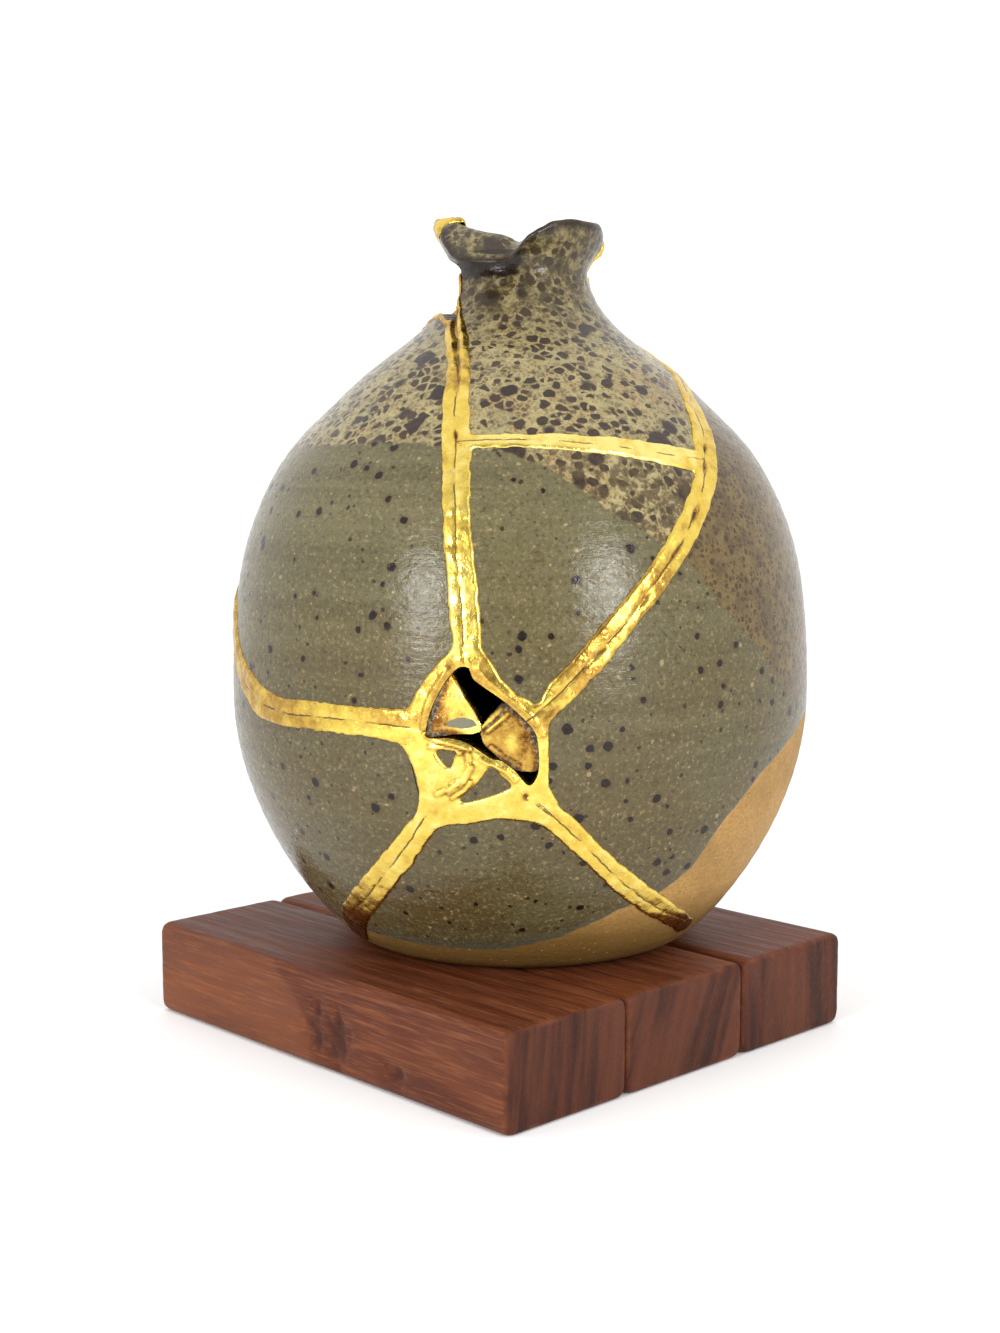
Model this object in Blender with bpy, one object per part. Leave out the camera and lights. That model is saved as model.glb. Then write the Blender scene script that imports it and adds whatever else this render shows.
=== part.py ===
"""Mended stoneware vase with gold seams, standing on three boards."""

import math

import bmesh
import bpy
from mathutils import Matrix, Vector

for old in list(bpy.data.objects):
    bpy.data.objects.remove(old, do_unlink=True)

MM = 0.001

# Boards, in millimetres. X runs along the boards, Y across them, Z up.
BOARD_LENGTH = 210.0
BOARD_HEIGHT = 38.0
BOARD_WIDTHS = (62.0, 66.8, 63.6)
BOARD_GAP = 0.3
BOARD_EDGE_RADIUS = 4.0

# Vase. Angles are degrees round its axis: 0 is the side with the hole, plus is to its right.
AXIS = Vector((6.7, 6.9))
FRONT_AZIMUTH = -44.02
FOOT_GAP = 0.3
SEGMENTS = 48
LIP_HEIGHT = 287.5
BELLY_RADIUS = 116.7
WALL = 6.0
NECK_WALL = 4.9
FLOOR = 9.0
CRACK = 0.4
GOLD_LIFT = 0.35
GOLD_THICK = 0.8

# Outer profile: height above the foot and radius.
PROFILE = (
    (0.0, 62.5), (1.5, 67.0), (6.0, 73.8), (13.0, 80.8), (24.0, 89.6), (38.0, 98.8), (56.0, 107.7),
    (76.0, 114.3), (96.0, 116.7), (120.0, 116.2), (142.0, 114.3), (160.0, 110.8), (176.0, 105.1),
    (190.0, 98.0), (202.0, 89.3), (213.0, 78.4), (225.0, 65.7), (236.0, 52.0), (245.0, 40.2),
    (254.0, 32.1), (268.0, 26.5),
)
# Outer heights from which the inner wall is offset, from the neck down to the foot.
INNER_HEIGHTS = (
    264.0, 254.0, 245.0, 235.0, 221.0, 205.0, 187.0, 163.0, 136.0, 104.0, 70.0, 44.0, 24.0, 14.0,
)
# Floor of the inside: height over its middle and radius.
FLOOR_RINGS = ((1.5, 63.0), (0.0, 48.0))
NECK_BASE = 240.0
# Lip sections: flared as on the right side, drooped as on the left front.
FLARED = ((273.0, 28.2), (278.5, 31.5), (284.5, 34.0), (287.5, 32.5), (283.5, 28.0), (275.0, 23.0))
DROOPED = ((274.5, 27.2), (273.5, 31.5), (266.5, 37.8), (270.0, 37.2), (284.5, 25.5), (277.0, 21.6))
# Angle, share of the drooped section, change in height of the rim and of the crest.
LIP_KEYS = (
    (-180, 0.20, -4.0, -3.0), (-135, 0.06, -2.0, -1.5), (-108, 0.0, -0.3, 0.0), (-92, 0.0, 0.2, 0.5),
    (-82, 0.03, 0.3, 2.5), (-74, 0.12, 0.3, 7.0), (-65, 0.30, 0.0, 7.0), (-56, 0.52, 0.0, 4.8),
    (-47, 0.75, 0.3, 2.4), (-38, 0.90, 1.0, 0.5), (-28, 0.96, 1.4, -1.0), (-17, 0.98, 1.2, -2.0),
    (-8, 0.90, 0.3, -3.2), (-3, 0.72, 0.0, -4.4), (4, 0.40, 0.0, -3.4), (12, 0.12, -2.6, -2.0),
    (22, 0.02, -1.6, -1.0), (37, 0.0, -1.0, 0.0), (52, 0.0, -1.4, 0.0), (68, -0.05, -2.2, 0.0),
    (80, -0.15, -5.0, 0.0), (92, -0.28, -10.0, 0.0), (103, -0.30, -12.0, -1.0), (118, -0.20, -10.0, -2.0),
    (140, 0.0, -6.0, -3.0), (180, 0.20, -4.0, -3.0),
)

# Every outline here follows the lip's height and the belly's radius.
DRAWN_HEIGHT = max(z for z, r in FLARED)
DRAWN_RADIUS = max(r for z, r in PROFILE)
TALL = LIP_HEIGHT / DRAWN_HEIGHT
WIDE = BELLY_RADIUS / DRAWN_RADIUS

# Crack paths: angle and height.
J_VH = (-15.3, 201.0)
J_HR = (45.4, 194.5)
J_LEFT = (-20.0, 100.9)
J_LOWER_LEFT = (-18.4, 67.4)
J_FLUSH = (-16.6, 68.1)
J_LOWER_RIGHT = (1.2, 78.0)
J_BACK = (103.0, 247.0)
CRACK_VERTICAL = (
    (-46.0, 251.5), (-40.3, 245.8), (-31.0, 239.5), (-24.0, 231.2), (-20.8, 224.0), (-18.0, 211.5),
    J_VH, (-14.0, 186.0), (-13.0, 175.0), (-12.4, 162.0), (-11.2, 149.0), (-10.5, 134.0),
    (-10.3, 121.0),
)
CRACK_HORIZONTAL = (
    J_VH, (-8.0, 201.6), (0.0, 201.8), (9.0, 201.2), (18.0, 200.0), (27.0, 198.1), (36.0, 196.0),
    J_HR,
)
CRACK_RIGHT_NECK = ((100.0, 297.0), (100.0, 280.0), (102.0, 268.0), (104.0, 257.0), J_BACK)
CRACK_RIGHT = (
    J_BACK, (96.0, 237.5), (86.0, 231.0), (76.0, 226.3), (65.5, 220.8), (57.0, 213.2), (51.5, 204.5), J_HR,
    (41.0, 185.0), (36.5, 175.6), (31.6, 165.2), (27.4, 157.6), (23.2, 148.6), (19.4, 139.6),
    (15.2, 131.4), (10.4, 122.4), (6.2, 113.6), (2.9, 108.0), (-2.0, 99.8),
)
CRACK_LEFT = (
    (-16.2, 99.3), J_LEFT, (-29.0, 101.8), (-38.0, 101.9), (-47.0, 101.2), (-57.4, 103.0),
    (-64.0, 107.8), (-70.6, 119.5), (-78.0, 131.0), (-90.0, 141.0), (-106.0, 149.0),
    (-125.0, 156.0), (-146.0, 165.0), (-167.0, 177.0), (-186.0, 190.0), (-205.0, 203.0),
    (-224.0, 216.0), (-238.0, 227.0), (-249.5, 238.5), (-257.0, 247.0),
)
CRACK_LOWER_LEFT = (
    J_LOWER_LEFT, (-21.3, 59.8), (-24.6, 52.5), (-29.0, 44.2), (-38.4, 30.2), (-51.5, 17.5),
)
CRACK_LOWER_RIGHT = (
    J_LOWER_RIGHT, (6.5, 67.6), (13.2, 55.0), (19.6, 43.6), (26.6, 34.4), (35.0, 26.2),
    (49.5, 16.8),
)
# Where those two turn under the foot: angle, outer radius and height, inner radius and height.
FOOT_CORNERS = ((57.0, 82.0, 8.0, 61.0, 12.5), (58.5, 71.0, -4.0, 53.0, 14.0))
# The same crack across the floor: forward and sideways from the axis.
FLOOR_CRACK = ((32.0, -37.0), (34.0, -18.0), (34.5, 2.0), (33.5, 21.0), (31.5, 38.0))
CRACK_FLUSH_LEFT = (J_LEFT, (-20.4, 92.0), (-19.7, 84.0), (-19.0, 76.0), J_LOWER_LEFT)
CRACK_FLUSH_MID = ((-8.4, 96.0), (-9.0, 88.5), (-10.2, 83.0), (-13.4, 76.2), J_FLUSH)
CRACK_FLUSH_UNDER = (
    (0.9, 83.0), J_LOWER_RIGHT, (-2.3, 74.9), (-7.7, 71.7), (-12.8, 69.6), J_FLUSH, J_LOWER_LEFT,
)
CRACK_LIP_LEFT = ((-92.0, 266.0), (-92.0, 280.0), (-92.0, 297.0))

# Openings: the lost piece of the neck and the hole.
NECK_LOSS = (
    (-67.5, 272.6), (-61.0, 264.5), (-54.0, 257.5), (-46.6, 251.8), (-42.6, 248.2), (-50.0, 247.6),
    (-66.0, 251.2), (-79.0, 250.2), (-96.0, 246.5), (-112.0, 248.5), (-126.0, 255.0),
    (-120.0, 263.0), (-113.0, 272.6),
)
HOLE = (
    (-11.0, 123.4), (-9.2, 122.9), (-8.6, 119.4), (-6.4, 116.0), (-2.7, 110.8), (0.4, 105.0),
    (2.4, 99.5), (3.0, 89.6), (2.5, 83.6), (0.9, 80.6), (-1.6, 86.0), (-3.8, 89.4), (-5.6, 90.3),
    (-7.6, 93.0), (-9.9, 95.7), (-12.8, 97.2), (-17.0, 97.3), (-17.2, 101.2), (-16.1, 109.0),
    (-14.3, 116.2), (-12.5, 121.0),
)
SUNK_LEFT = (
    (-16.3, 103.0), (-15.6, 108.4), (-13.8, 115.6), (-12.4, 118.6), (-10.5, 112.9), (-8.2, 105.4),
    (-7.8, 100.4), (-12.0, 99.8), (-16.4, 99.6),
)
SUNK_RIGHT = (
    (-2.6, 109.6), (-5.4, 106.4), (-7.2, 101.9), (-6.9, 97.8), (-5.3, 94.0), (-0.8, 87.6),
    (2.5, 88.9), (2.0, 99.2), (0.1, 104.4),
)
SUNK_DEPTH_LEFT = 3.2
SUNK_DEPTH_RIGHT = 1.6
SUNK_THICK = 4.0

# Gold bands: angle, height and half width.
GOLD_VERTICAL = (
    (-45.5, 250.5, 2.6), (-40.3, 245.6, 4.6), (-31.0, 239.3, 4.8), (-24.0, 231.2, 4.6),
    (-20.6, 223.0, 4.9), (-17.6, 210.5, 5.2), (-15.0, 199.0, 5.6), (-13.6, 183.0, 5.4),
    (-12.4, 168.0, 5.3), (-11.2, 155.0, 5.5), (-10.4, 142.0, 5.7), (-9.9, 132.6, 5.3),
    (-10.2, 126.0, 4.6),
)
GOLD_HORIZONTAL = (
    (-13.0, 201.3, 3.0), (-4.0, 201.8, 3.4), (6.5, 201.6, 3.6), (19.5, 200.1, 4.2),
    (30.0, 197.9, 4.6), (42.0, 194.2, 5.2),
)
GOLD_RIGHT = (
    (102.0, 266.0, 3.0), (104.0, 257.0, 3.2), (103.0, 247.0, 3.4), (96.0, 237.5, 3.6),
    (86.0, 231.0, 3.5), (76.0, 226.3, 3.6), (66.0, 221.0, 4.0), (57.5, 212.4, 5.0), (48.8, 200.0, 5.4),
    (44.6, 190.4, 5.2), (38.2, 179.0, 5.0), (31.6, 166.0, 5.0), (27.0, 157.0, 4.9),
    (21.6, 145.8, 4.9), (17.2, 137.0, 5.0), (11.4, 124.2, 5.2), (6.6, 114.4, 5.2),
    (3.2, 106.0, 3.6),
)
GOLD_LEFT = (
    (-20.5, 100.8, 6.6), (-29.6, 101.8, 5.5), (-38.0, 102.0, 5.5), (-49.5, 101.4, 5.6),
    (-58.0, 103.2, 5.9), (-66.5, 111.2, 5.6), (-74.0, 120.8, 4.4), (-82.0, 134.5, 4.6),
    (-92.0, 142.0, 4.8), (-106.0, 149.0, 4.8), (-125.0, 156.0, 4.6), (-146.0, 165.0, 4.8),
    (-167.0, 177.0, 4.6), (-186.0, 190.0, 4.8), (-205.0, 203.0, 4.4), (-224.0, 216.0, 4.4),
    (-238.0, 227.0, 4.0), (-249.5, 238.5, 3.6), (-253.0, 243.0, 3.4),
)
GOLD_LOWER_LEFT = (
    (-17.6, 67.6, 4.6), (-21.4, 58.6, 5.4), (-25.8, 49.6, 5.6), (-32.6, 38.4, 5.8),
    (-41.0, 27.4, 6.0), (-50.5, 17.0, 6.2), (-55.5, 9.5, 5.0),
)
GOLD_LOWER_RIGHT = (
    (0.6, 74.6, 5.0), (6.6, 66.6, 4.9), (12.2, 56.4, 4.6), (17.8, 46.6, 4.8), (25.0, 36.6, 5.0),
    (32.4, 28.6, 4.9), (41.0, 21.4, 4.4), (52.0, 13.6, 4.0),
)
GOLD_WEB = (
    (-12.3, 130.2), (-14.4, 125.4), (-17.6, 118.2), (-19.3, 112.7), (-20.6, 107.4), (-22.4, 100.8),
    (-21.6, 94.0), (-20.2, 88.2), (-19.2, 82.5), (-19.1, 74.0), (-20.2, 68.2), (-17.6, 63.6),
    (-13.4, 65.2), (-8.6, 66.2), (-4.0, 68.0), (0.6, 67.8), (4.6, 68.6), (6.0, 75.0), (4.6, 81.0),
    (4.6, 88.3), (4.5, 97.7), (4.4, 103.6), (2.6, 109.6), (-1.0, 113.6), (-3.5, 118.5),
    (-5.6, 125.6), (-7.6, 132.0),
)
BARE_LEFT = ((-15.0, 92.2), (-12.0, 92.6), (-12.4, 89.7), (-13.6, 87.6))
BARE_RIGHT = (
    (-5.5, 87.3), (-2.4, 81.1), (-3.6, 78.9), (-10.0, 74.6), (-11.2, 75.2), (-10.6, 77.4),
    (-8.2, 80.4),
)
HOLE_RIM = 1.2

# How far the cutters reach: past the lip, into the bore, out of and past the wall and the floor.
LIP_START = 262.0
LIP_REACH = 46.0
BORE_REACH = 10.0
OUT_OF_WALL = 5.0
PAST_WALL = 7.0
OVER_FLOOR = 6.0
HOLE_REACH = 13.0
# The lost piece of the neck ends under the lip: from this height, inside this radius.
LOSS_PAST = 6.0
LOSS_TOP = 256.0
LOSS_RADIUS = 31.0
TIP_LIFT = 0.65


def lookup(table, x):
    """Value of a height and radius table at height x, straight between its rows."""
    if x <= table[0][0]:
        return table[0][1]
    for (x0, y0), (x1, y1) in zip(table, table[1:]):
        if x <= x1:
            return y0 + (y1 - y0) * (x - x0) / (x1 - x0)
    return table[-1][1]


def outer_radius(z):
    """Radius of the outer wall at a drawn height."""
    return lookup(PROFILE, z)


def inner_rings():
    """Rings of the inner wall, at the wall's thickness from the outer one."""
    rings = []
    for z in INNER_HEIGHTS:
        thick = NECK_WALL if z > NECK_BASE else WALL
        slope = wall_slope(z) * WIDE / TALL
        size = math.hypot(1.0, slope)
        rings.append((z + slope * thick / size / TALL, outer_radius(z) - thick / size / WIDE))
    for rise, r in FLOOR_RINGS:
        rings.append(((FLOOR + rise) / TALL, r))
    return rings


def lip_section(angle):
    """Six lip points (height, radius) at an angle."""
    a = (angle + 180.0) % 360.0 - 180.0
    for k0, k1 in zip(LIP_KEYS, LIP_KEYS[1:]):
        if a <= k1[0]:
            t = (a - k0[0]) / (k1[0] - k0[0])
            t = t * t * (3.0 - 2.0 * t)
            droop = k0[1] + (k1[1] - k0[1]) * t
            rim = k0[2] + (k1[2] - k0[2]) * t
            crest = k0[3] + (k1[3] - k0[3]) * t
            break
    shares = (0.0, 0.4, 1.0, 1.0, 0.0, 0.0)
    crests = (0.0, 0.0, 0.0, 0.0, 1.0, 0.3)
    points = []
    for f, d, s, c in zip(FLARED, DROOPED, shares, crests):
        z = f[0] + (d[0] - f[0]) * droop + s * rim + c * crest
        r = f[1] + (d[1] - f[1]) * droop
        points.append((z, r))
    return points


def place(angle, r, z):
    """World point of an angle, a drawn radius and a drawn height."""
    a = math.radians(FRONT_AZIMUTH + angle)
    r = r * WIDE
    return Vector((AXIS.x + r * math.cos(a), AXIS.y + r * math.sin(a), BOARD_HEIGHT + FOOT_GAP + z * TALL))


def facet_radius(angle, z):
    """Radius of the faceted outer wall."""
    step = 360.0 / SEGMENTS
    local = (angle % step) - step / 2.0
    return outer_radius(z) * math.cos(math.radians(step / 2.0)) / math.cos(math.radians(local))


def wall_slope(z):
    """Change of radius with height."""
    return (lookup(PROFILE, z + 2.0) - lookup(PROFILE, z - 2.0)) / 4.0


def material(name, colour, roughness, metallic):
    mat = bpy.data.materials.new(name)
    mat.use_nodes = True
    shader = mat.node_tree.nodes["Principled BSDF"]
    shader.inputs["Base Color"].default_value = (colour[0], colour[1], colour[2], 1.0)
    shader.inputs["Roughness"].default_value = roughness
    shader.inputs["Metallic"].default_value = metallic
    mat.diffuse_color = (colour[0], colour[1], colour[2], 1.0)
    return mat


def link_mesh(name, points, faces, mat=None):
    mesh = bpy.data.meshes.new(name)
    mesh.from_pydata([tuple(p) for p in points], [], faces)
    mesh.validate()
    obj = bpy.data.objects.new(name, mesh)
    bpy.context.scene.collection.objects.link(obj)
    if mat:
        mesh.materials.append(mat)
    return obj


def drop_loose(bm):
    """Remove edges and corners that carry no face."""
    bmesh.ops.delete(bm, geom=[e for e in bm.edges if not e.link_faces], context="EDGES")
    bmesh.ops.delete(bm, geom=[v for v in bm.verts if not v.link_faces], context="VERTS")


def make_closed(obj):
    """Triangulate, drop doubled corners and point the faces outward."""
    bm = bmesh.new()
    bm.from_mesh(obj.data)
    bmesh.ops.remove_doubles(bm, verts=bm.verts, dist=0.03)
    bmesh.ops.dissolve_degenerate(bm, edges=bm.edges, dist=0.02)
    drop_loose(bm)
    bmesh.ops.triangulate(bm, faces=bm.faces)
    bmesh.ops.recalc_face_normals(bm, faces=bm.faces)
    bm.to_mesh(obj.data)
    bm.free()
    return obj


def boolean(obj, cutter, operation):
    """Apply one exact Boolean and remove the cutter."""
    cutter.display_type = "WIRE"
    cutter.hide_render = True
    mod = obj.modifiers.new("cut", "BOOLEAN")
    mod.operation = operation
    mod.solver = "EXACT"
    mod.object = cutter
    graph = bpy.context.evaluated_depsgraph_get()
    result = bpy.data.meshes.new_from_object(obj.evaluated_get(graph))
    obj.modifiers.remove(mod)
    bm = bmesh.new()
    bm.from_mesh(result)
    bmesh.ops.remove_doubles(bm, verts=bm.verts, dist=0.002)
    bmesh.ops.dissolve_degenerate(bm, edges=bm.edges, dist=0.002)
    drop_loose(bm)
    bmesh.ops.triangulate(bm, faces=bm.faces)
    bm.to_mesh(result)
    bm.free()
    obj.data = result
    bpy.data.objects.remove(cutter, do_unlink=True)
    return obj


def vessel():
    """Whole hollow vase before it was broken."""
    rings = []
    for z, r in PROFILE:
        rings.append([(z, r)] * SEGMENTS)
    for k in range(6):
        rings.append([lip_section(i * 360.0 / SEGMENTS)[k] for i in range(SEGMENTS)])
    for z, r in inner_rings():
        rings.append([(z, r)] * SEGMENTS)
    points = []
    for ring in rings:
        for i, (z, r) in enumerate(ring):
            points.append(place(i * 360.0 / SEGMENTS, r, z))
    faces = []
    for k in range(len(rings) - 1):
        for i in range(SEGMENTS):
            j = (i + 1) % SEGMENTS
            a = k * SEGMENTS
            b = a + SEGMENTS
            faces.append((a + i, a + j, b + j, b + i))
    last = (len(rings) - 1) * SEGMENTS
    faces.append(tuple(reversed(range(SEGMENTS))))
    faces.append(tuple(last + i for i in range(SEGMENTS)))
    return make_closed(link_mesh("vessel", points, faces))


def ribbon(outer, inner, width):
    """Thin closed strip between two rows of points."""
    points = []
    count = len(outer)
    for i in range(count):
        ahead = outer[min(i + 1, count - 1)] + inner[min(i + 1, count - 1)]
        behind = outer[max(i - 1, 0)] + inner[max(i - 1, 0)]
        across = (ahead - behind).cross(inner[i] - outer[i]).normalized() * (width / 2.0)
        points += [outer[i] - across, outer[i] + across, inner[i] + across, inner[i] - across]
    faces = []
    for i in range(count - 1):
        for k in range(4):
            m = (k + 1) % 4
            faces.append((i * 4 + k, i * 4 + m, i * 4 + 4 + m, i * 4 + 4 + k))
    faces.append((3, 2, 1, 0))
    last = (count - 1) * 4
    faces.append((last, last + 1, last + 2, last + 3))
    return make_closed(link_mesh("crack", points, faces))


def crack_reach(z):
    """Radii just outside and just inside the wall."""
    if z > LIP_START:
        return LIP_REACH, BORE_REACH
    past = WALL / WIDE + PAST_WALL * (1.0 + abs(wall_slope(z)) ** 0.5)
    return outer_radius(z) + OUT_OF_WALL, outer_radius(z) - past


def crack(path):
    outer = []
    inner = []
    for angle, z in path:
        high, low = crack_reach(z)
        outer.append(place(angle, high, z))
        inner.append(place(angle, low, z))
    return ribbon(outer, inner, CRACK)


def foot_crack():
    """The two lower cracks joined across the floor of the vase as one strip."""
    outer = []
    inner = []
    for angle, z in CRACK_LOWER_LEFT:
        high, low = crack_reach(z)
        outer.append(place(angle, high, z))
        inner.append(place(angle, low, z))
    for angle, r_out, z_out, r_in, z_in in FOOT_CORNERS:
        outer.append(place(-angle, r_out, z_out))
        inner.append(place(-angle, r_in, z_in))
    for forward, side in FLOOR_CRACK:
        angle = math.degrees(math.atan2(side, forward))
        r = math.hypot(side, forward)
        outer.append(place(angle, r, -OUT_OF_WALL))
        inner.append(place(angle, r, FLOOR / TALL + OVER_FLOOR))
    for angle, r_out, z_out, r_in, z_in in reversed(FOOT_CORNERS):
        outer.append(place(angle, r_out, z_out))
        inner.append(place(angle, r_in, z_in))
    for angle, z in reversed(CRACK_LOWER_RIGHT):
        high, low = crack_reach(z)
        outer.append(place(angle, high, z))
        inner.append(place(angle, low, z))
    return ribbon(outer, inner, CRACK)


def wall_prism(name, outline, high, low):
    """Closed block over an outline of angles and heights, between two radii given as functions."""
    points = []
    count = len(outline)
    for angle, z in outline:
        points.append(place(angle, high(angle, z), z))
    for angle, z in outline:
        points.append(place(angle, low(angle, z), z))
    faces = [tuple(range(count)), tuple(reversed(range(count, 2 * count)))]
    for i in range(count):
        j = (i + 1) % count
        faces.append((j, i, count + i, count + j))
    return make_closed(link_mesh(name, points, faces))


def loss_reach(angle, z):
    """The lost piece of the neck stops under the lip's overhang."""
    reach = outer_radius(z) + LOSS_PAST
    return min(reach, LOSS_RADIUS) if z > LOSS_TOP else reach


def band_block(name, path):
    """Flat strip in angle and height, later wrapped on the wall."""
    rows = []
    count = len(path)
    for i, (angle, z, half) in enumerate(path):
        r = outer_radius(z)
        along = math.radians(1.0) * r
        up = math.hypot(1.0, wall_slope(z))
        a0, z0 = path[max(i - 1, 0)][:2]
        a1, z1 = path[min(i + 1, count - 1)][:2]
        tangent = Vector(((a1 - a0) * along, (z1 - z0) * up)).normalized()
        normal = Vector((-tangent.y, tangent.x)) * half
        rows.append([(angle + side * normal.x / along, z + side * normal.y / up) for side in (-1.0, 0.0, 1.0)])
    points = []
    for level in (0.0, 1.0):
        for row in rows:
            for angle, z in row:
                points.append((angle * 2.0, z, level))
    faces = []
    top = count * 3
    for i in range(count - 1):
        for k in range(2):
            a = i * 3 + k
            faces.append((a, a + 3, a + 4, a + 1))
            faces.append((top + a, top + a + 1, top + a + 4, top + a + 3))
        for k in (0, 2):
            a = i * 3 + k
            faces.append((a, top + a, top + a + 3, a + 3))
    for a in (0, (count - 1) * 3):
        for k in range(2):
            faces.append((a + k, a + k + 1, top + a + k + 1, top + a + k))
    return make_flat(link_mesh(name, points, faces))


def flat_block(name, outline, low=0.0, high=1.0):
    count = len(outline)
    points = [(a * 2.0, z, low) for a, z in outline] + [(a * 2.0, z, high) for a, z in outline]
    faces = [tuple(reversed(range(count))), tuple(range(count, 2 * count))]
    for i in range(count):
        j = (i + 1) % count
        faces.append((i, j, count + j, count + i))
    return make_flat(link_mesh(name, points, faces))


def make_flat(obj):
    bm = bmesh.new()
    bm.from_mesh(obj.data)
    bmesh.ops.triangulate(bm, faces=bm.faces)
    bmesh.ops.recalc_face_normals(bm, faces=bm.faces)
    bm.to_mesh(obj.data)
    bm.free()
    return obj


def grow(outline, amount):
    """Outline, given anticlockwise, moved outward by an amount in millimetres on the wall."""
    count = len(outline)
    grown = []
    for i, (a, z) in enumerate(outline):
        a0, z0 = outline[i - 1]
        a1, z1 = outline[(i + 1) % count]
        along = math.radians(1.0) * outer_radius(z)
        normal = Vector((z1 - z0, (a0 - a1) * along)).normalized()
        grown.append((a + normal.x * amount / along, z + normal.y * amount))
    return grown


def clockwise(outline):
    area = 0.0
    for (a0, z0), (a1, z1) in zip(outline, outline[1:] + outline[:1]):
        area += a0 * z1 - a1 * z0
    return area < 0.0


def gold_seams(mat):
    """All connected lacquer bands as one solid wrapped on the wall."""
    net = band_block("gold_seams", GOLD_VERTICAL)
    for path in (GOLD_HORIZONTAL, GOLD_RIGHT, GOLD_LEFT, GOLD_LOWER_LEFT, GOLD_LOWER_RIGHT):
        boolean(net, band_block("band", path), "UNION")
    boolean(net, flat_block("web", GOLD_WEB), "UNION")
    rim = HOLE[::-1] if clockwise(HOLE) else HOLE
    boolean(net, flat_block("hole", grow(rim, HOLE_RIM), -1.0, 2.0), "DIFFERENCE")
    boolean(net, flat_block("bare", BARE_LEFT, -1.0, 2.0), "DIFFERENCE")
    boolean(net, flat_block("bare", BARE_RIGHT, -1.0, 2.0), "DIFFERENCE")
    bm = bmesh.new()
    bm.from_mesh(net.data)
    bmesh.ops.dissolve_limit(bm, angle_limit=0.001, verts=bm.verts, edges=bm.edges)
    bmesh.ops.remove_doubles(bm, verts=bm.verts, dist=0.05)
    step = 360.0 / SEGMENTS
    for i in range(-37, 14):
        cut = i * step * 2.0
        bmesh.ops.bisect_plane(bm, geom=bm.verts[:] + bm.edges[:] + bm.faces[:], dist=0.05,
                               plane_co=(cut, 0.0, 0.0), plane_no=(1.0, 0.0, 0.0))
    for z, r in PROFILE[1:]:
        bmesh.ops.bisect_plane(bm, geom=bm.verts[:] + bm.edges[:] + bm.faces[:], dist=0.05,
                               plane_co=(0.0, z, 0.0), plane_no=(0.0, 1.0, 0.0))
    bmesh.ops.triangulate(bm, faces=bm.faces)
    for v in bm.verts:
        angle = v.co.x / 2.0
        z = v.co.y
        slope = wall_slope(z)
        size = math.hypot(1.0, slope)
        lift = GOLD_LIFT + GOLD_THICK * v.co.z
        v.co = place(angle, facet_radius(angle, z) + lift / size, z - slope * lift / size)
    bm.to_mesh(net.data)
    bm.free()
    net.data.materials.clear()
    net.data.materials.append(mat)
    return make_closed(net)


def lip_tip(mat):
    """Gold cap over the left end of the lip."""
    points = []
    angles = (-97.5, -90.0, -82.5)
    for angle in angles:
        section = lip_section(angle)[1:5]
        near = [Vector((p[1], p[0])) for p in section]
        rows = [[], []]
        for i, p in enumerate(near):
            ahead = near[min(i + 1, 3)]
            behind = near[max(i - 1, 0)]
            tangent = (ahead - behind).normalized()
            normal = Vector((tangent.y, -tangent.x))
            rows[0].append(p + normal * TIP_LIFT)
            rows[1].append(p + normal * (TIP_LIFT + GOLD_THICK))
        for row in rows:
            points += [place(angle, p.x, p.y) for p in row]
    faces = []
    for i in range(len(angles) - 1):
        a = i * 8
        for k in range(3):
            faces.append((a + k, a + k + 8, a + k + 9, a + k + 1))
            faces.append((a + k + 4, a + k + 5, a + k + 13, a + k + 12))
        faces.append((a, a + 4, a + 12, a + 8))
        faces.append((a + 3, a + 11, a + 15, a + 7))
    for a in (0, (len(angles) - 1) * 8):
        for k in range(3):
            faces.append((a + k, a + k + 1, a + k + 5, a + k + 4))
    return make_closed(link_mesh("gold_lip_tip", points, faces, mat))


def board(name, low_y, width, mat):
    bm = bmesh.new()
    bmesh.ops.create_cube(bm, size=1.0)
    bmesh.ops.scale(bm, vec=(BOARD_LENGTH, width, BOARD_HEIGHT), verts=bm.verts)
    bmesh.ops.translate(bm, vec=(0.0, low_y + width / 2.0, BOARD_HEIGHT / 2.0), verts=bm.verts)
    long_edges = [e for e in bm.edges if abs(e.verts[0].co.x - e.verts[1].co.x) > 1.0]
    bmesh.ops.bevel(bm, geom=long_edges, offset=BOARD_EDGE_RADIUS, segments=3, profile=0.5, affect="EDGES")
    mesh = bpy.data.meshes.new(name)
    bm.to_mesh(mesh)
    bm.free()
    mesh.materials.append(mat)
    obj = bpy.data.objects.new(name, mesh)
    bpy.context.scene.collection.objects.link(obj)
    return make_closed(obj)


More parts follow.
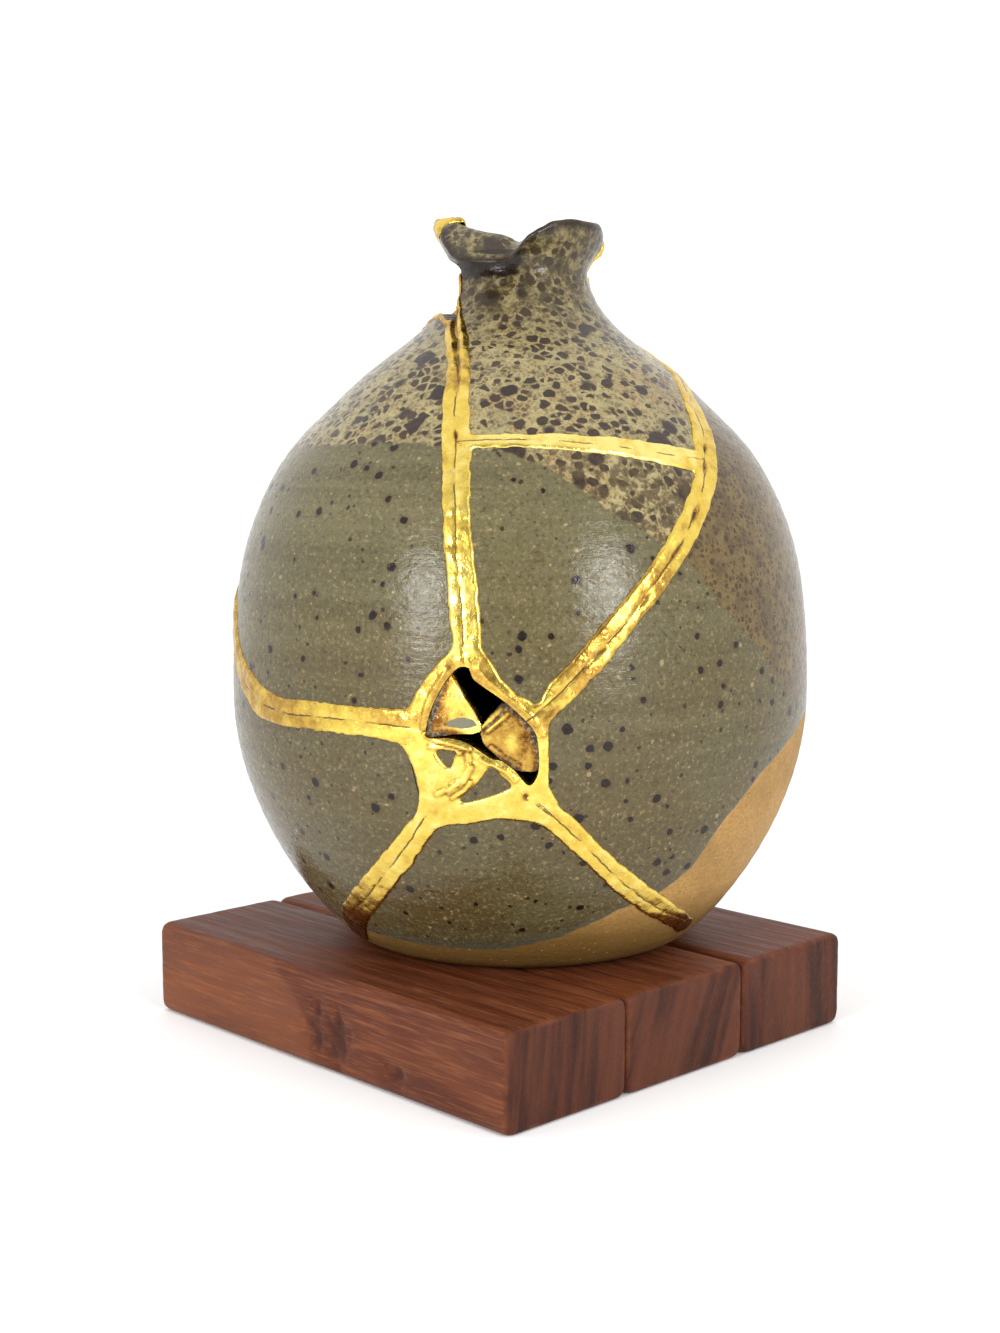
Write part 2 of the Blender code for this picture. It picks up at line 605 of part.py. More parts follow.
def split(obj, seeds, mat):
    """Name each loose piece of the broken vase by the seed point that it holds."""
    bm = bmesh.new()
    bm.from_mesh(obj.data)
    bm.verts.ensure_lookup_table()
    bm.faces.ensure_lookup_table()
    piece = {}
    pieces = []
    for face in bm.faces:
        if face.index in piece:
            continue
        number = len(pieces)
        found = []
        stack = [face]
        piece[face.index] = number
        while stack:
            f = stack.pop()
            found.append(f.index)
            for e in f.edges:
                for g in e.link_faces:
                    if g.index not in piece:
                        piece[g.index] = number
                        stack.append(g)
        pieces.append(found)
    bm.free()
    for name, (angle, z) in seeds.items():
        target = place(angle, facet_radius(angle, z), z)
        hit, spot, normal, index = obj.closest_point_on_mesh(target)
        chosen = set(pieces[piece[index]])
        shard = bmesh.new()
        shard.from_mesh(obj.data)
        shard.faces.ensure_lookup_table()
        bmesh.ops.delete(shard, geom=[f for f in shard.faces if f.index not in chosen], context="FACES")
        mesh = bpy.data.meshes.new(name)
        shard.to_mesh(mesh)
        shard.free()
        mesh.materials.clear()
        mesh.materials.append(mat)
        new = bpy.data.objects.new(name, mesh)
        bpy.context.scene.collection.objects.link(new)
        make_closed(new)
    bpy.data.objects.remove(obj, do_unlink=True)


def main():
    clay = material("glazed_stoneware", (0.16, 0.14, 0.09), 0.35, 0.0)
    gold = material("gold_lacquer", (0.83, 0.62, 0.22), 0.28, 1.0)
    wood = material("stained_wood", (0.15, 0.05, 0.03), 0.6, 0.0)

    pot = vessel()
    boolean(pot, wall_prism("loss", NECK_LOSS, loss_reach, lambda a, z: BORE_REACH), "DIFFERENCE")
    boolean(pot, wall_prism("hole", HOLE, lambda a, z: DRAWN_RADIUS + HOLE_REACH,
                            lambda a, z: DRAWN_RADIUS - WALL / WIDE - HOLE_REACH), "DIFFERENCE")
    for path in (CRACK_VERTICAL, CRACK_HORIZONTAL, CRACK_RIGHT_NECK, CRACK_RIGHT, CRACK_LEFT,
                 CRACK_FLUSH_LEFT, CRACK_FLUSH_MID, CRACK_FLUSH_UNDER, CRACK_LIP_LEFT):
        boolean(pot, crack(path), "DIFFERENCE")
    boolean(pot, foot_crack(), "DIFFERENCE")
    seeds = {
        "neck_shard": (20.0, 226.0),
        "front_shard": (15.0, 165.0),
        "left_shoulder_shard": (-45.0, 170.0),
        "body_shard": (80.0, 90.0),
        "foot_shard": (0.0, 30.0),
        "fragment_flush_left": (-17.0, 88.0),
        "fragment_flush_right": (-6.0, 82.0),
    }
    split(pot, seeds, clay)

    def sunk(depth):
        return lambda a, z: facet_radius(a, z) - depth

    for name, outline, depth in (("fragment_sunk_left", SUNK_LEFT, SUNK_DEPTH_LEFT),
                                 ("fragment_sunk_right", SUNK_RIGHT, SUNK_DEPTH_RIGHT)):
        fragment = wall_prism(name, outline, sunk(depth), sunk(depth + SUNK_THICK))
        fragment.data.materials.append(gold)
    gold_seams(gold)
    lip_tip(gold)

    low = -(sum(BOARD_WIDTHS) + 2.0 * BOARD_GAP) / 2.0
    for name, width in zip(("base_board_near", "base_board_mid", "base_board_far"), BOARD_WIDTHS):
        board(name, low, width, wood)
        low += width + BOARD_GAP
    for obj in bpy.data.objects:
        obj.data.transform(Matrix.Scale(MM, 4))


main()
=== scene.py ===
"""Dressed model of the mended stoneware vase on its three boards."""
import math

import bmesh
import bpy
import numpy as np
from mathutils import Matrix, Vector
from mathutils.bvhtree import BVHTree


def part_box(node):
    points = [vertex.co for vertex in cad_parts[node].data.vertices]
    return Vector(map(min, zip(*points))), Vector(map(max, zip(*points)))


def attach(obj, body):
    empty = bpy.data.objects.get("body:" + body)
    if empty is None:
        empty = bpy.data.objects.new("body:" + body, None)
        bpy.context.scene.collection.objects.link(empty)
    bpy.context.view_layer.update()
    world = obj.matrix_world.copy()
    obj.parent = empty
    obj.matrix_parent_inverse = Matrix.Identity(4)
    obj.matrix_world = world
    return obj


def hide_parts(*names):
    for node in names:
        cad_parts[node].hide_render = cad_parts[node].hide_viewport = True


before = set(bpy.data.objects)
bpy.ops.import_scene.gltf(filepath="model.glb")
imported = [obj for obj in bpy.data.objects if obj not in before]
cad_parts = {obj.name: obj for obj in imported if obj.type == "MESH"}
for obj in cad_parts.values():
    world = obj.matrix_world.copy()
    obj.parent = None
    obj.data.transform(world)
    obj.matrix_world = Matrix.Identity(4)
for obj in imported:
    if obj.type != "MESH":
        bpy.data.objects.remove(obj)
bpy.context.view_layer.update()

MM = 0.001
DEGREE = math.radians(1.0)

# Where the vase stands, from the frame. Its own sizes below are in millimetres above its foot.
BODY_LOW, BODY_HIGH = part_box("body_shard")
AXIS_X = (BODY_LOW[0] + BODY_HIGH[0]) / 2.0 / MM
AXIS_Y = (BODY_LOW[1] + BODY_HIGH[1]) / 2.0 / MM
FOOT_Z = BODY_LOW[2] / MM
FRONT_AZIMUTH = -44.02
WALL = 6.0
NECK_WALL = 4.9
NECK_BASE = 240.0
FLOOR = 9.0
CRACK = 0.35
# Points in a ring as it is thrown.
AROUND = 96

# Camera: place in metres, looking level direction and pitch in degrees.
CAMERA_PLACE = (0.5570, -0.5362, 0.2407)
CAMERA_HEADING = 45.98
CAMERA_PITCH = -6.86
CAMERA_LENS = 51.18
CAMERA_SENSOR = 36.0

# Soft windows: name, heading in the vase's own angles, rise, distance, width, height and power.
WINDOWS = (
    ("window_left", -36.5, 13.0, 1.3, 0.28, 0.50, 8.0),
    ("window_right", 34.0, 16.0, 1.3, 0.28, 0.50, 8.0),
)
# Strength of the white room: as the camera sees it, at the vase's back, and on the side it faces.
ROOM_SEEN = 1.2
ROOM_BACK = 1.17
ROOM_FRONT = 0.46

# The thrown wall: height and outer radius.
PROFILE = (
    (0.0, 62.5), (1.0, 65.6), (3.0, 69.8), (6.0, 73.8), (9.5, 77.4), (13.0, 80.8), (18.0, 85.0),
    (24.0, 89.5), (31.0, 94.4), (39.0, 99.3), (48.0, 104.0), (58.0, 108.4), (69.0, 112.3), (81.0, 115.2),
    (94.0, 116.6), (108.0, 116.6), (122.0, 116.1), (136.0, 115.0), (149.0, 113.2), (160.0, 110.8),
    (170.0, 107.4), (180.0, 103.3), (189.0, 98.6), (197.0, 93.4), (204.0, 87.5), (210.0, 81.3),
    (216.0, 75.1), (222.0, 68.8), (228.0, 62.2), (234.0, 54.5), (239.0, 47.7), (243.0, 42.3), (247.0, 38.2),
    (251.5, 34.0), (256.0, 30.8), (260.5, 28.4), (264.5, 27.2), (268.0, 26.5),
)
# Heights at which the inside is drawn, and the rings of the floor: rise over it and radius.
INNER_HEIGHTS = (
    264.0, 258.0, 252.0, 247.0, 241.0, 234.0, 225.0, 215.0, 203.0, 189.0, 172.0, 152.0, 130.0, 106.0, 82.0,
    60.0, 42.0, 28.0, 18.0,
)
FLOOR_RINGS = ((3.0, 68.0), (0.8, 60.0), (0.0, 44.0), (0.0, 22.0))

# Lip sections from the neck's outside over the edge to its inside: height and radius.
FLARED = (
    (271.0, 27.2), (274.5, 29.0), (278.5, 31.4), (282.5, 33.3), (286.0, 34.0), (288.0, 33.0), (287.2, 31.2),
    (283.0, 28.0), (278.0, 25.0), (272.0, 22.4),
)
DROOPED = (
    (271.5, 26.9), (273.8, 28.2), (273.4, 31.4), (270.0, 35.0), (266.6, 37.8), (268.0, 38.6), (271.8, 36.6),
    (280.0, 30.0), (284.8, 25.4), (276.0, 21.8),
)
# How far each point of the section follows the rim's and the crest's change in height.
LIP_RIM_SHARE = (0.0, 0.1, 0.4, 0.8, 1.0, 1.0, 0.9, 0.3, 0.0, 0.0)
LIP_CREST_SHARE = (0.0, 0.0, 0.0, 0.0, 0.0, 0.1, 0.3, 0.8, 1.0, 0.2)
# Angle, share of the drooped section, change in height of the rim and of the crest.
LIP_KEYS = (
    (-180, 0.20, -4.0, -3.0), (-135, 0.06, -2.0, -1.5), (-108, 0.0, -0.3, 0.0), (-92, 0.0, 0.2, 0.5),
    (-82, 0.03, 0.3, 2.5), (-74, 0.12, 0.3, 7.0), (-65, 0.30, 0.0, 7.0), (-56, 0.52, 0.0, 4.8),
    (-47, 0.75, 0.3, 2.4), (-38, 0.90, 1.0, 0.5), (-28, 0.96, 1.4, -1.0), (-17, 0.98, 1.2, -2.0),
    (-8, 0.90, 0.3, -3.2), (-3, 0.72, 0.0, -4.4), (4, 0.40, 0.0, -3.4), (12, 0.12, -2.6, -2.0),
    (22, 0.02, -1.6, -1.0), (37, 0.0, -1.0, 0.0), (52, 0.0, -1.4, 0.0), (68, -0.05, -2.2, 0.0),
    (80, -0.15, -5.0, 0.0), (92, -0.28, -10.0, 0.0), (103, -0.30, -12.0, -1.0), (118, -0.20, -10.0, -2.0),
    (140, 0.0, -6.0, -3.0), (180, 0.20, -4.0, -3.0),
)

# Crack paths: angle and height, as in the solids.
J_VH = (-15.3, 201.0)
J_HR = (45.4, 194.5)
J_LEFT = (-20.0, 100.9)
J_LOWER_LEFT = (-18.4, 67.4)
J_FLUSH = (-16.6, 68.1)
J_LOWER_RIGHT = (1.2, 78.0)
J_BACK = (103.0, 247.0)
CRACKS = {
    "vertical": (
        (-46.0, 251.5), (-40.3, 245.8), (-31.0, 239.5), (-24.0, 231.2), (-20.8, 224.0), (-18.0, 211.5), J_VH,
        (-14.0, 186.0), (-13.0, 175.0), (-12.4, 162.0), (-11.2, 149.0), (-10.5, 134.0), (-10.3, 121.0),
    ),
    "horizontal": (
        J_VH, (-8.0, 201.6), (0.0, 201.8), (9.0, 201.2), (18.0, 200.0), (27.0, 198.1), (36.0, 196.0), J_HR,
    ),
    "right_neck": ((100.0, 297.0), (100.0, 280.0), (102.0, 268.0), (104.0, 257.0), J_BACK),
    "right": (
        J_BACK, (96.0, 237.5), (86.0, 231.0), (76.0, 226.3), (65.5, 220.8), (57.0, 213.2), (51.5, 204.5),
        J_HR, (41.0, 185.0), (36.5, 175.6), (31.6, 165.2), (27.4, 157.6), (23.2, 148.6), (19.4, 139.6),
        (15.2, 131.4), (10.4, 122.4), (6.2, 113.6), (2.9, 108.0), (-2.0, 99.8),
    ),
    "left": (
        (-16.2, 99.3), J_LEFT, (-29.0, 101.8), (-38.0, 101.9), (-47.0, 101.2), (-57.4, 103.0), (-64.0, 107.8),
        (-70.6, 119.5), (-78.0, 131.0), (-90.0, 141.0), (-106.0, 149.0), (-125.0, 156.0), (-146.0, 165.0),
        (-167.0, 177.0), (-186.0, 190.0), (-205.0, 203.0), (-224.0, 216.0), (-238.0, 227.0), (-249.5, 238.5),
        (-257.0, 247.0),
    ),
    "flush_left": (J_LEFT, (-20.4, 92.0), (-19.7, 84.0), (-19.0, 76.0), J_LOWER_LEFT),
    "flush_mid": ((-8.4, 96.0), (-9.0, 88.5), (-10.2, 83.0), (-13.4, 76.2), J_FLUSH),
    "flush_under": (
        (0.9, 83.0), J_LOWER_RIGHT, (-2.3, 74.9), (-7.7, 71.7), (-12.8, 69.6), J_FLUSH, J_LOWER_LEFT,
    ),
    "lip_left": ((-92.0, 266.0), (-92.0, 280.0), (-92.0, 297.0)),
}
CRACK_LOWER_LEFT = (J_LOWER_LEFT, (-21.3, 59.8), (-24.6, 52.5), (-29.0, 44.2), (-38.4, 30.2), (-51.5, 17.5))
CRACK_LOWER_RIGHT = (
    J_LOWER_RIGHT, (6.5, 67.6), (13.2, 55.0), (19.6, 43.6), (26.6, 34.4), (35.0, 26.2), (49.5, 16.8),
)
# Where the foot's crack turns under: angle, then radius and height outside and inside the wall.
FOOT_CORNERS = ((57.0, 82.0, 8.0, 61.0, 12.5), (58.5, 71.0, -4.0, 53.0, 14.0))
# Its way across the floor: forward and sideways from the axis.
FLOOR_CRACK = ((32.0, -37.0), (34.0, -18.0), (34.5, 2.0), (33.5, 21.0), (31.5, 38.0))
# Outlines of the neck's lost piece and of the hole: angle and height.
NECK_LOSS = (
    (-67.5, 272.6), (-61.0, 264.5), (-54.0, 257.5), (-46.6, 251.8), (-42.6, 248.2), (-50.0, 247.6),
    (-66.0, 251.2), (-79.0, 250.2), (-96.0, 246.5), (-112.0, 248.5), (-126.0, 255.0), (-120.0, 263.0),
    (-113.0, 272.6),
)
HOLE = (
    (-11.0, 123.4), (-9.2, 122.9), (-8.6, 119.4), (-6.4, 116.0), (-2.7, 110.8), (0.4, 105.0), (2.4, 99.5),
    (3.0, 89.6), (2.5, 83.6), (0.9, 80.6), (-1.6, 86.0), (-3.8, 89.4), (-5.6, 90.3), (-7.6, 93.0),
    (-9.9, 95.7), (-12.8, 97.2), (-17.0, 97.3), (-17.2, 101.2), (-16.1, 109.0), (-14.3, 116.2),
    (-12.5, 121.0),
)

# Gold bands: angle, height and half width.
GOLD_BANDS = {
    "vertical": (
        (-45.5, 250.5, 2.4), (-40.3, 245.6, 4.4), (-31.0, 239.3, 4.8), (-24.0, 231.2, 4.6),
        (-20.6, 223.0, 4.9), (-17.6, 210.5, 5.2), (-15.0, 199.0, 5.6), (-13.6, 183.0, 5.4),
        (-12.4, 168.0, 5.3), (-11.2, 155.0, 5.5), (-10.4, 142.0, 5.7), (-9.9, 132.6, 5.3),
        (-10.2, 126.0, 4.6),
    ),
    "horizontal": (
        (-13.0, 201.3, 2.9), (-4.0, 201.8, 3.3), (6.5, 201.6, 3.6), (19.5, 200.1, 4.2), (30.0, 197.9, 4.6),
        (42.0, 194.2, 5.2),
    ),
    "right": (
        (102.0, 266.0, 3.0), (104.0, 257.0, 3.2), (103.0, 247.0, 3.6), (96.0, 237.5, 3.6),
        (86.0, 231.0, 3.5), (76.0, 226.3, 3.6), (66.0, 221.0, 4.0), (57.5, 212.4, 5.0), (48.8, 200.0, 5.4),
        (44.6, 190.4, 5.2), (38.2, 179.0, 5.0), (31.6, 166.0, 5.0), (27.0, 157.0, 4.9), (21.6, 145.8, 4.9),
        (17.2, 137.0, 5.0), (11.4, 124.2, 5.2), (6.6, 114.4, 5.2), (3.2, 106.0, 3.6),
    ),
    "left": (
        (-20.5, 100.8, 6.6), (-29.6, 101.8, 5.5), (-38.0, 102.0, 5.5), (-49.5, 101.4, 5.6),
        (-58.0, 103.2, 5.9), (-66.5, 111.2, 5.6), (-74.0, 120.8, 4.4), (-82.0, 134.5, 4.6),
        (-92.0, 142.0, 4.8), (-106.0, 149.0, 4.8), (-125.0, 156.0, 4.6), (-146.0, 165.0, 4.8),
        (-167.0, 177.0, 4.6), (-186.0, 190.0, 4.8), (-205.0, 203.0, 4.4), (-224.0, 216.0, 4.4),
        (-238.0, 227.0, 4.0), (-249.5, 238.5, 3.6), (-257.0, 247.0, 3.4),
    ),
    "lower_left": (
        (-17.6, 67.6, 4.6), (-21.4, 58.6, 5.4), (-25.8, 49.6, 5.6), (-32.6, 38.4, 5.8), (-41.0, 27.4, 6.0),
        (-50.5, 17.0, 6.2), (-55.5, 9.5, 5.0),
    ),
    "lower_right": (
        (0.6, 74.6, 5.0), (6.6, 66.6, 4.9), (12.2, 56.4, 4.6), (17.8, 46.6, 4.8), (25.0, 36.6, 5.0),
        (32.4, 28.6, 4.9), (41.0, 21.4, 4.4), (52.0, 13.6, 4.0),
    ),
}
# Outline of the broad gold round the hole, and of the gilded fragments that lie in it.
GOLD_WEB = (
    (-12.3, 130.2), (-14.4, 125.4), (-17.6, 118.2), (-19.3, 112.7), (-20.6, 107.4), (-22.4, 100.8),
    (-21.6, 94.0), (-20.2, 88.2), (-19.2, 82.5), (-19.1, 74.0), (-20.2, 68.2), (-17.6, 63.6), (-13.4, 65.2),
    (-8.6, 66.2), (-4.0, 68.0), (0.6, 67.8), (4.6, 68.6), (6.0, 75.0), (4.6, 81.0), (4.6, 88.3),
    (4.5, 97.7), (4.4, 103.6), (2.6, 109.6), (-1.0, 113.6), (-3.5, 118.5), (-5.6, 125.6), (-7.6, 132.0),
)
SUNK_LEFT = (
    (-17.7, 103.0), (-16.8, 108.8), (-15.0, 116.0), (-13.2, 121.0), (-12.2, 119.0), (-10.3, 112.9),
    (-8.0, 105.4), (-7.4, 100.0), (-12.0, 98.7), (-17.6, 97.8),
)
SUNK_RIGHT = (
    (-2.0, 111.4), (-4.9, 107.8), (-7.2, 102.4), (-7.3, 98.0), (-5.9, 93.6), (-1.4, 86.4), (3.4, 87.4),
    (3.6, 99.4), (1.2, 105.6),
)
# Dark slots where the lacquer sank into the right crack: angle, height, length and width.
SUNK_SPOTS = (
    (44.6, 191.1, 3.4, 1.1), (36.4, 175.1, 3.6, 1.3), (29.8, 162.0, 4.6, 0.9), (21.9, 146.7, 3.2, 1.2),
    (47.5, 198.5, 2.4, 0.9), (12.8, 127.4, 3.0, 0.9), (-15.6, 203.0, 2.4, 0.8),
)
# Welts of lacquer round the hole: path, rise and width.
WELTS = (
    (((-17.0, 98.4), (-14.8, 96.6), (-11.6, 95.6), (-9.4, 94.0)), 0.75, 0.8),
    (((-16.4, 94.4), (-13.8, 94.2), (-11.0, 92.6)), 0.55, 0.7),
    (((-9.6, 92.4), (-9.2, 87.6), (-10.4, 82.8), (-13.2, 78.4)), 0.45, 0.9),
    (((-15.4, 77.2), (-13.2, 79.6), (-11.6, 82.0)), 0.5, 0.8),
    (((-12.6, 76.2), (-10.4, 78.8), (-9.2, 82.2)), 0.45, 0.7),
    (((-17.6, 101.0), (-17.0, 108.6), (-15.2, 116.2), (-13.2, 121.6)), 0.5, 0.8),
    (((-7.6, 122.6), (-5.6, 117.6), (-1.8, 111.6), (1.4, 105.8), (3.4, 99.6)), 0.5, 0.8),
    (((-7.2, 90.2), (-5.4, 88.4), (-3.2, 86.6), (-1.4, 83.0)), 0.5, 0.7),
)
# A pit and a pock in the lacquer, and the short crack from the pock.
PIT = (-8.9, 89.9)
POCK = (0.5, 77.0)
CRACK_FROM_POCK = (POCK, (2.6, 73.6), (5.4, 69.4))
# Gold over the lip at a crack: middle angle, half width, first and last share of the section, and seed.
LIP_END = (-81.0, 10.0, 0.36, 0.86, 1.0)
LIP_SEAM = (99.0, 3.4, 0.10, 0.80, 2.5)
# How far off the crack line is set on gold that has none.
NO_CRACK = 9.0
# Pitch of the lacquer's relief: degrees round the front, columns round the back, and millimetres up the wall.
GOLD_PITCH = 0.32
GOLD_BACK_COLUMNS = 230
GOLD_RISE = 0.62
GOLD_SIDES = (-92.0, 98.0)
GOLD_TOP = 267.0
# Boards: part, the pith line (Y and Z) that the growth bands run round, and the lean of the grain in radians.
BOARDS = (
    ("near", (-210.0, -40.0), 0.10),
    ("mid", (190.0, -150.0), 0.35),
    ("far", (260.0, 30.0), 0.0),
)
BOARD_ROUNDING = 4.0
# Torn grain on the near board's long side: place along X and height, half sizes and depth.
TORN_GRAIN = ((8.0, 15.0, 15.0, 14.0, 3.2), (45.0, 9.0, 7.5, 5.0, 2.0))
# Windows of glaze left in the gold under the hole.
BARE_LEFT = ((-15.2, 92.6), (-11.9, 92.9), (-12.2, 90.2), (-13.2, 87.0))
BARE_RIGHT = (
    (-5.6, 87.5), (-3.9, 84.4), (-2.2, 80.9), (-3.4, 79.0), (-7.4, 76.0), (-10.6, 74.4), (-11.3, 75.3),
    (-10.4, 77.2), (-8.0, 81.6),
)


def spline(table, x):
    """Smooth value of a height and radius table at x."""
    rows = len(table)
    for i in range(rows - 1):
        if x <= table[i + 1][0] or i == rows - 2:
            break
    x0, y0 = table[i]
    x1, y1 = table[i + 1]
    before = table[i - 1] if i > 0 else (x0 - (x1 - x0), y0 - (y1 - y0))
    after = table[i + 2] if i < rows - 2 else (x1 + (x1 - x0), y1 + (y1 - y0))
    m0 = (y1 - before[1]) / (x1 - before[0])
    m1 = (after[1] - y0) / (after[0] - x0)
    span = x1 - x0
    t = min(max((x - x0) / span, -0.5), 1.5)
    return ((2 * t ** 3 - 3 * t ** 2 + 1) * y0 + (t ** 3 - 2 * t ** 2 + t) * span * m0
            + (-2 * t ** 3 + 3 * t ** 2) * y1 + (t ** 3 - t ** 2) * span * m1)


HEIGHTS = np.arange(0.0, 268.5, 0.5)
RADII = np.array([spline(PROFILE, z) for z in HEIGHTS])
SLOPES = np.gradient(RADII, HEIGHTS)


def outer_radius(z):
    return np.interp(z, HEIGHTS, RADII)


def wall_slope(z):
    return np.interp(z, HEIGHTS, SLOPES)


def place(angle, r, z):
    """World point, in millimetres, of an angle in degrees, a radius and a height."""
    a = math.radians(FRONT_AZIMUTH + angle)
    return Vector((AXIS_X + r * math.cos(a), AXIS_Y + r * math.sin(a), FOOT_Z + z))


def unplace_many(points):
    """Angle, radius and height of world points."""
    x = points[:, 0] - AXIS_X
    y = points[:, 1] - AXIS_Y
    angle = (np.degrees(np.arctan2(y, x)) - FRONT_AZIMUTH + 180.0) % 360.0 - 180.0
    return angle, np.hypot(x, y), points[:, 2] - FOOT_Z


def value_noise(points, size, seed):
    """Smooth noise from -1 to 1 at points in millimetres, with features of a given size."""
    cell = np.asarray(points) / size + seed * 17.31
    low = np.floor(cell).astype(np.int64)
    part = cell - low
    part = part * part * (3.0 - 2.0 * part)
    total = np.zeros(len(cell))
    for corner in range(8):
        step = np.array([corner & 1, corner >> 1 & 1, corner >> 2 & 1])
        x, y, z = (low + step).T
        key = (x * 73856093) ^ (y * 19349663) ^ (z * 83492791) ^ (seed * 2654435)
        key = (key * 1103515245 + 12345) & 0x7FFFFFFF
        key = ((key >> 7) * 1664525 + 1013904223) & 0x7FFFFFFF
        weight = np.prod(np.where(step == 1, part, 1.0 - part), axis=1)
        total += weight * ((key >> 8 & 0xFFFF) / 32767.5 - 1.0)
    return total


def unrolled(angle, arc, radius):
    """Places on the wall laid out flat, to feed the noise."""
    return np.stack([angle * DEGREE * radius, arc, 0.0 * arc], axis=-1).reshape(-1, 3)


def hump(far, wide):
    """1 at no distance, falling away smoothly over a width."""
    return np.exp(-(far / wide) ** 2)


def half_round(inside, wide):
    """Height of a rounded edge, from 0 at the edge to 1 at a width inside it."""
    share = np.clip(inside / wide, 0.0, 1.0)
    return np.sqrt(np.maximum(1.0 - (1.0 - share) ** 2, 0.0))


def curve_between(p, t):
    """Point at share t between the middle two of four points, on a smooth curve through them."""
    return 0.5 * (2 * p[1] + (p[2] - p[0]) * t + (2 * p[0] - 5 * p[1] + 4 * p[2] - p[3]) * t * t
                  + (3 * p[1] - p[0] - 3 * p[2] + p[3]) * t ** 3)


def read_points(mesh):
    co = np.empty(len(mesh.vertices) * 3)
    mesh.vertices.foreach_get("co", co)
    return co.reshape(-1, 3)


def write_points(mesh, points):
    mesh.vertices.foreach_set("co", points.ravel())
    mesh.update()


def deselect_all():
    for obj in bpy.context.selected_objects:
        obj.select_set(False)


def link_mesh(name, points, faces):
    mesh = bpy.data.meshes.new(name)
    mesh.from_pydata([tuple(p) for p in points], [], faces)
    obj = bpy.data.objects.new(name, mesh)
    bpy.context.scene.collection.objects.link(obj)
    return obj


def outward(obj, split_faces=False):
    """Point the faces outward, split into triangles where asked."""
    bm = bmesh.new()
    bm.from_mesh(obj.data)
    if split_faces:
        bmesh.ops.triangulate(bm, faces=bm.faces)
    bmesh.ops.recalc_face_normals(bm, faces=bm.faces)
    bm.to_mesh(obj.data)
    bm.free()
    return obj


def use_object(obj):
    deselect_all()
    bpy.context.view_layer.objects.active = obj
    obj.select_set(True)


def apply_modifiers(obj):
    use_object(obj)
    for mod in list(obj.modifiers):
        bpy.ops.object.modifier_apply(modifier=mod.name)


def smooth(obj, angle):
    use_object(obj)
    bpy.ops.object.shade_smooth_by_angle(angle=math.radians(angle))


def lip_section(angle):
    """Lip points (height, radius) at an angle."""
    a = (angle + 180.0) % 360.0 - 180.0
    for k0, k1 in zip(LIP_KEYS, LIP_KEYS[1:]):
        if a <= k1[0]:
            t = (a - k0[0]) / (k1[0] - k0[0])
            t = t * t * (3.0 - 2.0 * t)
            droop, rim, crest = (k0[n] + (k1[n] - k0[n]) * t for n in (1, 2, 3))
            break
    return [
        (f[0] + (d[0] - f[0]) * droop + s * rim + c * crest, f[1] + (d[1] - f[1]) * droop)
        for f, d, s, c in zip(FLARED, DROOPED, LIP_RIM_SHARE, LIP_CREST_SHARE)
    ]


def inner_rings():
    rings = []
    for z in INNER_HEIGHTS:
        share = min(max((z - NECK_BASE) / 15.0, 0.0), 1.0)
        thick = WALL + (NECK_WALL - WALL) * share
        slope = wall_slope(z)
        size = math.hypot(1.0, slope)
        rings.append((z + slope * thick / size, outer_radius(z) - thick / size))
    return rings + [(FLOOR + rise, r) for rise, r in FLOOR_RINGS]


def edit_mode(on):
    bpy.ops.object.mode_set(mode="EDIT" if on else "OBJECT")


def next_ring(height, radius, was):
    """Draw the open ring up or down and in or out, as on the wheel."""
    z, r = was
    bpy.ops.mesh.extrude_edges_move(TRANSFORM_OT_translate={"value": (0.0, 0.0, height - z)})
    share = radius / r
    bpy.ops.transform.resize(value=(share, share, 1.0))
    return height, radius


